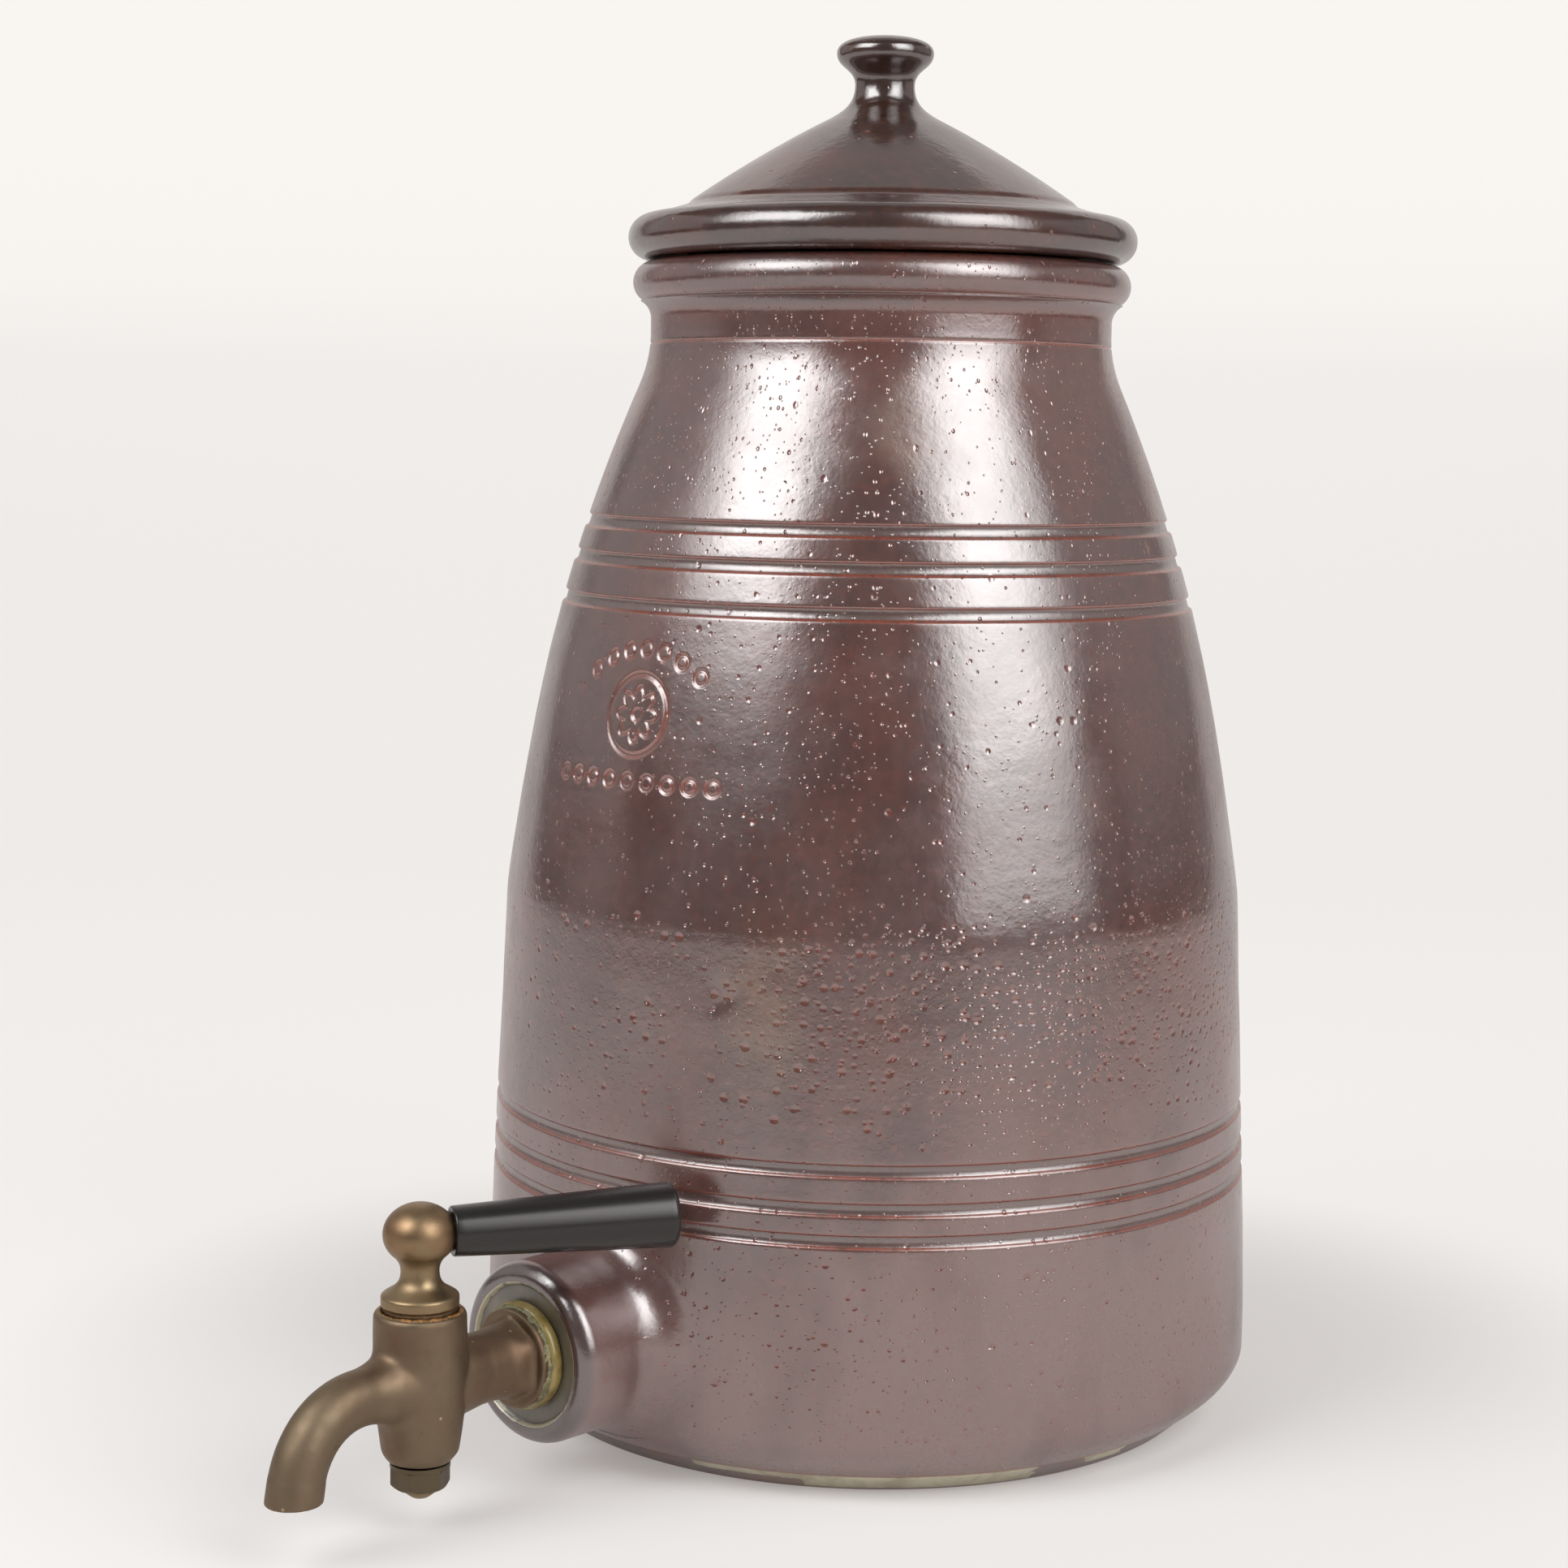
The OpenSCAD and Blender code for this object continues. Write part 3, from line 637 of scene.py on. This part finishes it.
def stamp_depth(u, v):
    """Depth of the stamp at u mm round the wall from its middle and v mm above it."""
    r, a = np.hypot(u, v), np.arctan2(v, u)
    petals = PETAL_R + PETAL_REACH * np.abs(np.cos(PETALS * a))
    depth = pressed(r - RING_R, RING_HALF, RING_D)
    depth = np.maximum(depth, pressed(r - petals, PETAL_HALF, PETAL_D) * (r > 2.4))
    depth = np.maximum(depth, pressed(np.maximum(r - EYE_R, 0), EYE_HALF, EYE_D))
    for count, middle, bow, pitch in DOT_ROWS:
        for k in range(count):
            at = (k - (count - 1) / 2) * pitch
            near = np.hypot(u - at, v - middle - bow * at * at)
            depth = np.maximum(depth, pressed(near - DOT_R, DOT_HALF, DOT_D))
    worn = 0.75 + 0.35 * np.sin(0.21 * u + 0.9) * np.cos(0.17 * v)
    return depth * np.clip(worn, 0.35, 1)


# the stretch of wall with the stamp gets a grid of its own, fine enough for its edges
outside = np.arange(len(profile)) < last_outer
window_rows = np.nonzero(outside & (height > STAMP_LOW) & (height < STAMP_HIGH))[0]
first_row, last_row = window_rows[0], window_rows[-1]
middle_col = COLS * 3 // 4  # on the tap's side
face_row, face_col = row_of[faces[:, 0]], faces[:, 0] % COLS
in_window = (face_row >= first_row) & (face_row < last_row)
in_window &= np.abs(face_col - middle_col + 0.5) < STAMP_HALF_COLS

low, high = height[first_row], height[last_row]
z_fine = np.linspace(low, high, int((high - low) / STAMP_STEP))
window_half = STAMP_HALF_COLS * 360 / COLS
a_fine = np.radians(np.linspace(270 - window_half, 270 + window_half, STAMP_COLS))
zz, aa = np.meshgrid(z_fine, a_fine, indexing="ij")
fine = np.stack([wall_r(zz) * np.cos(aa), wall_r(zz) * np.sin(aa), zz], -1).reshape(-1, 3)
depth = stamp_depth((aa - math.radians(270)) * STAMP_R, zz - STAMP_Z)
slope = np.hypot(*np.gradient(depth, STAMP_STEP, (a_fine[1] - a_fine[0]) * STAMP_R))
swell(fine, thrown(fine) - depth.ravel())
fine_faces = grid_faces(len(z_fine), STAMP_COLS, closed=False) + len(co)

# ---------------------------------------------------------------- crock: where the boss grows out


def flare(phi):
    """How wide the boss spreads into the wall: most at its sides."""
    s = np.sin(phi)
    return 9 - 3.6 * np.clip(s, 0, 1) ** 2 - 5.4 * np.clip(-s, 0, 1) ** 2


def overlap(phi):
    """How far the boss's mesh runs on under the wall's."""
    return 3.2 - 1.9 * np.clip(-np.sin(phi), 0, 1) ** 2


dx, dz = co[:, 0], co[:, 2] - TAP_Z
phi = np.arctan2(dz, dx)
cut = (co[:, 1] < 0) & (row_of <= last_outer)
cut &= np.hypot(dx, dz) < BOSS_R + flare(phi) + 0.4 * overlap(phi)
keep = ~cut[faces].all(axis=1) & ~in_window

# bare clay shows through the dark slip of the foot in patches: from and to, in degrees from the
# tap, and the height where each starts
CLAY_PATCHES = (
    (14, 32, 3.4), (32, 68, 0.6), (78, 86, 2.6), (118, 171, 0.8), (-128, -84, 1.4),
    (-160, -150, 3.0),
)
turn = np.degrees(np.arctan2(co[:, 0], -co[:, 1]))
clay = np.zeros(len(co))
for start, end, low in CLAY_PATCHES:
    across = np.clip(np.minimum(turn - start, end - turn) / 4, -1, 1)
    up = np.clip((co[:, 2] - low) / 1.2, -1, 1)
    clay = np.maximum(clay, 0.5 + 0.5 * np.minimum(across, up))

on_rows = {"wear": 2, "groove": 3, "bare": 4}
attributes = {key: np.repeat(profile[:, i], COLS) for key, i in on_rows.items()}
attributes["clay"] = clay
attributes["dish"] = attributes["cream"] = np.zeros(len(co))
on_fine = {key: np.zeros(len(fine)) for key in attributes}
on_fine["wear"] = np.clip(slope.ravel() * 1.6, 0, 0.9)
attributes = {key: np.concatenate([v, on_fine[key]]) for key, v in attributes.items()}
mesh_object("crock_pot", np.vstack([co, fine]), np.vstack([faces[keep], fine_faces]), crock_mat,
            "crock_and_tap", ["crock"], attributes)

# ---------------------------------------------------------------- crock: the boss

BOSS_COLS = 360
BOSS_SINK = 0.16  # its edge lies this far under the wall
BOSS_WORN = (BOSS_FACE - 3.6, BOSS_FACE - 2.4)
SEAT = (  # from the face into the hole: radius, depth, dish, cream
    (17.35, 0.0, 0, 0.1), (17.1, 0.1, 0.4, 1), (16.85, 0.45, 1, 0.9), (16.6, 0.95, 1, 0.4),
    (16.2, 1.15, 1, 0.1), (15.6, 1.2, 1, 0), (14, 1.2, 1, 0), (12, 1.2, 1, 0), (9.5, 1.2, 1, 0),
    (TAIL_HOLE_R, 1.5, 1, 0), (TAIL_HOLE_R, 20, 1, 0),
)


def boss_line(phi):
    """One line of the boss, from the wall over its face into the hole: distance from the boss's
    axis, distance from the pot's, wear, dish and cream."""
    c, s = math.cos(phi), math.sin(phi)
    spread, ext = float(flare(phi)), float(overlap(phi))
    start = BOSS_R + spread

    def wall_at(d):
        return float(wall_y(d * c, TAP_Z + d * s))

    line = []
    for t in np.linspace(1, 0.1, 6):
        d = start + ext * t
        line.append((d, wall_at(d) - BOSS_SINK - 0.1 * t, 0, 0, 0))
    slope = (wall_at(start + 0.2) - wall_at(start - 0.2)) / 0.4
    root, top = wall_at(start) - BOSS_SINK, wall_at(BOSS_R) + spread
    bend = 0.55 * spread
    fillet = bezier((start, root), (start - bend, root - bend * slope),
                    (BOSS_R, top - 0.6 * spread), (BOSS_R, top), 14)
    line += [(d, y, 0, 0, 0) for d, y in fillet]
    line += [(BOSS_R, y, 0, 0, 0) for y in np.linspace(top, BOSS_FACE - BOSS_EDGE, 10)[1:]]
    for r, y in arc((BOSS_R - BOSS_EDGE, BOSS_FACE - BOSS_EDGE), BOSS_EDGE, 0, 90, 14)[1:]:
        line.append((r, y, 0.16 if BOSS_WORN[0] < y < BOSS_WORN[1] else 0, 0, 0))
    line += [(r, BOSS_FACE - depth, 0, dish, cream) for r, depth, dish, cream in SEAT]
    return [(d * c, -y, TAP_Z + d * s, wear, dish, cream) for d, y, wear, dish, cream in line]


boss_rows = np.array([boss_line(p) for p in np.linspace(0, 2 * np.pi, BOSS_COLS, endpoint=False)])
boss_rows = boss_rows.transpose(1, 0, 2)
boss = boss_rows.reshape(-1, 6)
co = boss[:, :3].copy()
out = co - np.array([0, 0, TAP_Z])
out[:, 1] = 0
out /= np.maximum(np.linalg.norm(out, axis=1), 1)[:, None]
lump = 0.08 * (fbm(co, 14, 1.7) - 0.8)
round_side = (co[:, 1] < -104) & (co[:, 1] > -121.2)
co += out * (lump * round_side)[:, None]
none = np.zeros(len(co))
mesh_object(
    "crock_boss", co, grid_faces(len(boss_rows), BOSS_COLS, flip=True), crock_mat, "crock_and_tap",
    (), {"wear": boss[:, 3], "groove": none, "bare": none, "clay": none,
                        "dish": boss[:, 4], "cream": boss[:, 5]},
)

# ---------------------------------------------------------------- lid

LID_COLS = 540
LID_SEAT = 291.8
RING_OUT, RING_IN, RING_FOOT, RING_ROUND = 49.2, 44.2, 281.4, 0.6
FLANGE, FLANGE_R = (58.8, 297.4), 5.6
STEM_R, KNOB_R, STEM_Z, KNOB_Z, LID_TOP = 7.6, 12.3, 336.0, 343.9, 348.15

lid_line = np.vstack([
    evenly([(RING_IN, LID_SEAT), (RING_IN, RING_FOOT)], 2),
    arc((RING_IN + RING_ROUND, RING_FOOT), RING_ROUND, 180, 270, 4),
    arc((RING_OUT - RING_ROUND, RING_FOOT), RING_ROUND, 270, 360, 4),
    evenly([(RING_OUT, 282), (RING_OUT, 291.2)], 2),
    [(49.6, 291.75), (51, LID_SEAT)],
    evenly([(52, LID_SEAT), (58.2, LID_SEAT)], 1.5),
    arc(FLANGE, FLANGE_R, -90, 90, 26),
    evenly([(57.8, 303.15), (55, 303.9), (52, 304.75), (50.2, 305.35)], 1),
    bezier((50.0, 305.45), (49.2, 305.75), (48.9, 306.5), (48.0, 307.15), 6),
    evenly(bezier((47.7, 307.35), (38, 314), (25, 322), (14.5, 327.2), 20), 1.4),
    bezier((14.3, 327.3), (10.6, 329.4), (STEM_R, 331.2), (STEM_R, STEM_Z), 16)[1:],
    bezier((STEM_R, STEM_Z), (STEM_R, 340.2), (KNOB_R, 340.2), (KNOB_R, KNOB_Z), 16)[1:],
    bezier((KNOB_R, KNOB_Z), (KNOB_R, 346.5), (8.8, 348.05), (0.3, LID_TOP), 14)[1:],
])
co, faces = turned(lid_line, LID_COLS)
uneven = 0.1 * (fbm(co, 22, 9.3) - 0.8)
swell(co, np.where((co[:, 2] > 292) & (radius_of(co) > 6), uneven, 0))
step = (lid_line[:, 1] > 305.2) & (lid_line[:, 1] < 307.3) & (lid_line[:, 0] > 47)
mesh_object("lid_top", co, faces, lid_mat, "lid", ["lid"],
            {"wear": np.repeat(step * 0.08, LID_COLS), "groove": np.zeros(len(co))})

# ---------------------------------------------------------------- tap

MELT_ROUNDS = 130


def apply_modifiers(ob):
    graph = bpy.context.evaluated_depsgraph_get()
    me = bpy.data.meshes.new_from_object(ob.evaluated_get(graph))
    ob.modifiers.clear()
    ob.vertex_groups.clear()
    ob.data = me
    me.name = ob.name
    return me


def add_smooth(ob, rounds):
    s = ob.modifiers.new("s", "SMOOTH")
    s.factor = 0.5
    s.iterations = rounds
    return s


def vertex_values(me, key):
    values = np.empty(len(me.vertices) * 3)
    me.vertices.foreach_get(key, values)
    return values.reshape(-1, 3)


def cast_copy(node, name, material, body, voxel, rounds, lumps=0.0, melt=None):
    """A copy of a CAD node, rounded on its edges like a worn casting, most where melt is high."""
    ob = bpy.data.objects.new(name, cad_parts[node].data.copy())
    bpy.context.scene.collection.objects.link(ob)
    bm = bmesh.new()
    bm.from_mesh(ob.data)
    bmesh.ops.remove_doubles(bm, verts=bm.verts, dist=0.002 * MM)
    bm.to_mesh(ob.data)
    bm.free()
    r = ob.modifiers.new("r", "REMESH")
    r.mode = "VOXEL"
    r.voxel_size = voxel * MM
    add_smooth(ob, rounds)
    me = apply_modifiers(ob)
    if melt:
        group = ob.vertex_groups.new(name="melt")
        amount = np.round(melt(vertex_values(me, "co") / MM), 1)
        for level in np.unique(amount[amount > 0]):
            group.add(np.nonzero(amount == level)[0].tolist(), float(level), "REPLACE")
        add_smooth(ob, MELT_ROUNDS).vertex_group = "melt"
        me = apply_modifiers(ob)
    if lumps:
        v, outward = vertex_values(me, "co"), vertex_values(me, "normal")
        v += outward * (lumps * MM * (fbm(v / MM, 12, 5.5) - 0.6))[:, None]
        me.vertices.foreach_set("co", v.ravel())
        me.update()
    me.polygons.foreach_set("use_smooth", [True] * len(me.polygons))
    me.materials.clear()
    me.materials.append(material)
    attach(ob, body)
    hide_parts(node)


def spout_root(p):
    """1 on the barrel's front, where the spout grows out, and a little on the wrench flats."""
    out = np.hypot(p[:, 0], p[:, 1] - AXIS_Y)
    near = np.clip(2.2 - np.abs(out - 11.5) / 3, 0, 1) * (p[:, 1] < AXIS_Y - 1)
    near *= np.clip((46 - p[:, 2]) / 4, 0, 1) * np.clip((p[:, 2] - 17) / 4, 0, 1)
    flats = 0.4 * ((p[:, 1] > -136) & (p[:, 1] < -126))
    return np.maximum(near, flats)


cast_copy("tap_body", "tap_casting", tap_mat, "crock_and_tap", 0.42, 8, lumps=0.12,
          melt=spout_root)
cast_copy("tap_plug", "plug_turning", plug_mat, "lever", 0.28, 3)
cast_copy("plug_nut", "plug_nut_worn", nut_mat, "lever", 0.2, 5)
for node, material in (
    ("plug_washer", nut_mat), ("back_nut", clean_mat), ("inner_washer", clean_mat),
    ("inner_seal", rubber_mat), ("lever_rod", steel_mat),
):
    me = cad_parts[node].data
    me.materials.clear()
    me.materials.append(material)

SEAL_BORE, SEAL_BACK, SEAL_FRONT, SEAL_R = 8.25, 120.32, 123.49, 12.1
seal_line = np.vstack([
    [(SEAL_BORE, 120.35)],
    evenly([(9, SEAL_BACK), (12.0, SEAL_BACK)], 1),
    bezier((SEAL_R, SEAL_BACK), (13.2, 120.6), (13.2, 123.1), (SEAL_R, 123.48), 12),
    evenly([(12.0, SEAL_FRONT), (9, SEAL_FRONT)], 1),
    [(SEAL_BORE, 123.45)],
])
co, faces = turned(seal_line, 220)
swell(co, np.where(radius_of(co) > SEAL_R, 0.12 * (fbm(co, 4, 2.2) - 0.7), 0))
mesh_object("outer_seal_bead", along_tail(co), faces, seal_mat, "crock_and_tap",
            ["outer_seal"])

# lime and verdigris where the flange meets the seal
crust_line = [
    (11.2, 123.4), (12.3, 123.45), (12.4, 123.8), (11.9, 124.3), (11.75, 125.2), (11.3, 125.2),
]
co, faces = turned(evenly(crust_line, 0.35), 260)
swell(co, 0.45 * (fbm(co, 2.3, 4.4, 3) - 0.45))
mesh_object("flange_crust", along_tail(co), faces, crust_mat, "crock_and_tap")

# grease pressed out between barrel and collar
grease_line = [(8.6, 50.6), (9.0, 51.3), (9.5, 51.25), (9.9, 50.9)]
co, faces = turned(evenly(grease_line, 0.2), 200)
co[:, 2] += 0.25 * (fbm(co, 1.6, 6.1, 3) - 0.2)
co[:, 1] += AXIS_Y
mesh_object("barrel_grease", co, faces, grease_mat, "crock_and_tap")

# the grip is drawn along +Z, laid along +Y and turned to where the lever lies
grip_line = np.vstack([
    [(2.3, 8.0), (4.35, 8.0), (4.4, 7.45), (4.6, 7.27)],
    arc((5.27, 7.75), 0.5, -90, 0, 4),
    evenly([(5.82, 9.2), (7.55, 57.6)], 4),
    arc((6.0, 58.2), 1.58, 5, 80, 8),
    [(5.0, 59.9), (3.5, 60.1), (1.5, 60.25), (0.2, 60.28)],
])
co, faces = turned(grip_line, 128)
co = np.stack([co[:, 0], co[:, 2], -co[:, 1]], 1)
ob = mesh_object("grip_turning", co, faces, grip_mat, "lever", ["lever_grip"])
ball = Matrix.Translation((0, AXIS_Y * MM, BALL_Z * MM))
ob.matrix_world = ball @ Matrix.Rotation(-LEVER_TURN, 4, "Z")
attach(ob, "lever")

# ---------------------------------------------------------------- camera, in metres

CAMERA_AT = (0.504614, -0.580492, 0.249387)
CAMERA_RIGHT = (0.73353744, 0.67951762, 0.01336479)
CAMERA_UP = (-0.08960121, 0.07719424, 0.99298171)
CAMERA_BACK = (0.67371688, -0.72958677, 0.11751047)

cam = bpy.data.objects.new("camera", bpy.data.cameras.new("camera"))
cam.data.lens = 68.602
cam.data.sensor_width = 36
cam.matrix_world = Matrix((*zip(CAMERA_RIGHT, CAMERA_UP, CAMERA_BACK, CAMERA_AT), (0, 0, 0, 1)))
bpy.context.scene.collection.objects.link(cam)
bpy.context.scene.camera = cam

# ---------------------------------------------------------------- stage, in metres

VIEW = math.radians(41)  # the camera's side of the pot, from straight in front of the tap
FRONT = Vector((math.sin(VIEW), -math.cos(VIEW), 0))
SIDE = Vector((math.cos(VIEW), math.sin(VIEW), 0))

PAPER_FRONT, PAPER_HALF, PAPER_TOP = 1.35, 1.5, 2.3
BEND_AT, BEND_R = 0.9, 0.9  # the paper starts to rise this far behind the pot
PAPER_COLOUR = (0.93, 0.895, 0.87)
PAINTED_SHADOW, CLEAR_FLOOR, BACKDROP = (0.64, 0.6, 0.585), (0.91, 0.875, 0.855), (0.96, 0.925, 0.895)
SHADOW_REACH = (0.11, 0.26)  # from the pot's own shadow and its painted shadow to the clear floor
BACKDROP_Z = (0.1, 0.5)
LEVEL_Z = (0.05, 0.4)


def paper_material():
    """Pale paper. What the camera and the glaze see of it is levelled out, most high up behind the
    pot, and least in the pot's own shadow; round the pot the levelled colour is darker, a painted
    shadow."""
    m = Nodes("paper")
    paths = m.node("ShaderNodeLightPath").outputs
    seen = m.most(paths["Is Glossy Ray"], paths["Is Transmission Ray"])
    seen = m.most(paths["Is Camera Ray"], seen)
    z = m.axes()["Z"]
    away = m.node("ShaderNodeVectorMath", operation="LENGTH")
    m.put(away.inputs[0], m.coord)
    clear = m.ramp(away.outputs["Value"], *SHADOW_REACH)
    # the levelled colour is darker near the pot: a painted shadow
    floor = m.mix(clear, PAINTED_SHADOW, CLEAR_FLOOR)
    pale = m.node("ShaderNodeEmission")
    m.put(pale.inputs["Color"], m.mix(m.ramp(z, *BACKDROP_Z), floor, BACKDROP))
    amount = m.most(m.add_times(0.43, clear, 0.4), m.ramp(z, *LEVEL_Z, 0.3, 0.96))
    blend = m.node("ShaderNodeMixShader")
    m.put(blend.inputs[0], m.times(seen, amount))
    m.put(blend.inputs[1], m.bsdf.outputs[0])
    m.put(blend.inputs[2], pale.outputs[0])
    m.put(m.tree.nodes["Material Output"].inputs["Surface"], blend.outputs[0])
    return m.set(Base_Color=PAPER_COLOUR, Roughness=0.9)


def sweep():
    """Paper that lies under the pot and rises behind it, seen from the camera's side."""
    line = [(PAPER_FRONT, 0.0), (0.6, 0.0), (0.0, 0.0), (-0.6, 0.0)]
    for a in np.linspace(0, math.pi / 2, 14):
        line.append((-BEND_AT - BEND_R * math.sin(a), BEND_R * (1 - math.cos(a))))
    line += [(-BEND_AT - BEND_R, 1.4), (-BEND_AT - BEND_R, PAPER_TOP)]
    verts = [FRONT * d + SIDE * half + Vector((0, 0, z))
             for d, z in line for half in (-PAPER_HALF, PAPER_HALF)]
    faces = [(2 * i, 2 * i + 1, 2 * i + 3, 2 * i + 2) for i in range(len(line) - 1)]
    me = bpy.data.meshes.new("paper")
    me.from_pydata(verts, [], faces)
    me.polygons.foreach_set("use_smooth", [True] * len(me.polygons))
    me.materials.append(paper_material())
    ob = bpy.data.objects.new("paper", me)
    bpy.context.scene.collection.objects.link(ob)


sweep()

# ---------------------------------------------------------------- light, in metres and watts

AIM = Vector((0, 0, 0.16))
COOL, WHITE = (0.95, 0.99, 1.0), (1, 1, 1)
# Each window of light is a wide dim box with a smaller, brighter heart. The azimuth is counted
# from the camera's side, positive to the right as the camera sees it.
SOFTBOXES = (  # name, azimuth, elevation, distance, width, height, power, colour
    ("left_wide", -55, 40, 1.5, 1.2, 1.09, 10.4, COOL),
    ("left_heart", -52, 41, 1.49, 0.75, 0.75, 7.4, COOL),
    ("right_wide", 47, 32, 1.5, 1.2, 1.56, 13.6, COOL),
    ("right_heart", 45, 35, 1.49, 0.75, 1.09, 6.9, COOL),
    ("right_core", 43, 37, 1.48, 0.5, 0.55, 1.2, COOL),
    ("left_card", -108, 21, 1.75, 1.5, 1.15, 2.3, WHITE),
    ("right_card", 108, 21, 1.75, 1.5, 1.15, 1.8, WHITE),
    ("overhead", 180, 62, 1.9, 1.6, 1.0, 1.6, WHITE),
)
WORLD_LIGHT, WORLD_SEEN = (0.13, 0.122, 0.12, 1), (0.88, 0.85, 0.83, 1)


def softbox(name, azimuth, elevation, distance, width, height, power, colour):
    a, e = math.radians(azimuth), math.radians(elevation)
    level = FRONT * math.cos(a) + SIDE * math.sin(a)
    light = bpy.data.lights.new(name, "AREA")
    light.shape = "RECTANGLE"
    light.size, light.size_y = width, height
    light.energy = power
    light.color = colour
    ob = bpy.data.objects.new(name, light)
    ob.location = AIM + level * math.cos(e) * distance + Vector((0, 0, math.sin(e) * distance))
    ob.rotation_euler = (ob.location - AIM).to_track_quat("Z", "Y").to_euler()
    bpy.context.scene.collection.objects.link(ob)


for box in SOFTBOXES:
    softbox(*box)

world = bpy.data.worlds.new("studio")
bpy.context.scene.world = world
world.use_nodes = True
tree = world.node_tree
paths = tree.nodes.new("ShaderNodeLightPath")
pick = tree.nodes.new("ShaderNodeMix")
pick.data_type = "RGBA"
tree.links.new(paths.outputs["Is Camera Ray"], pick.inputs[0])
pick.inputs[6].default_value = WORLD_LIGHT
pick.inputs[7].default_value = WORLD_SEEN
tree.links.new(pick.outputs[2], tree.nodes["Background"].inputs["Color"])

bpy.context.scene.view_settings.view_transform = "Standard"
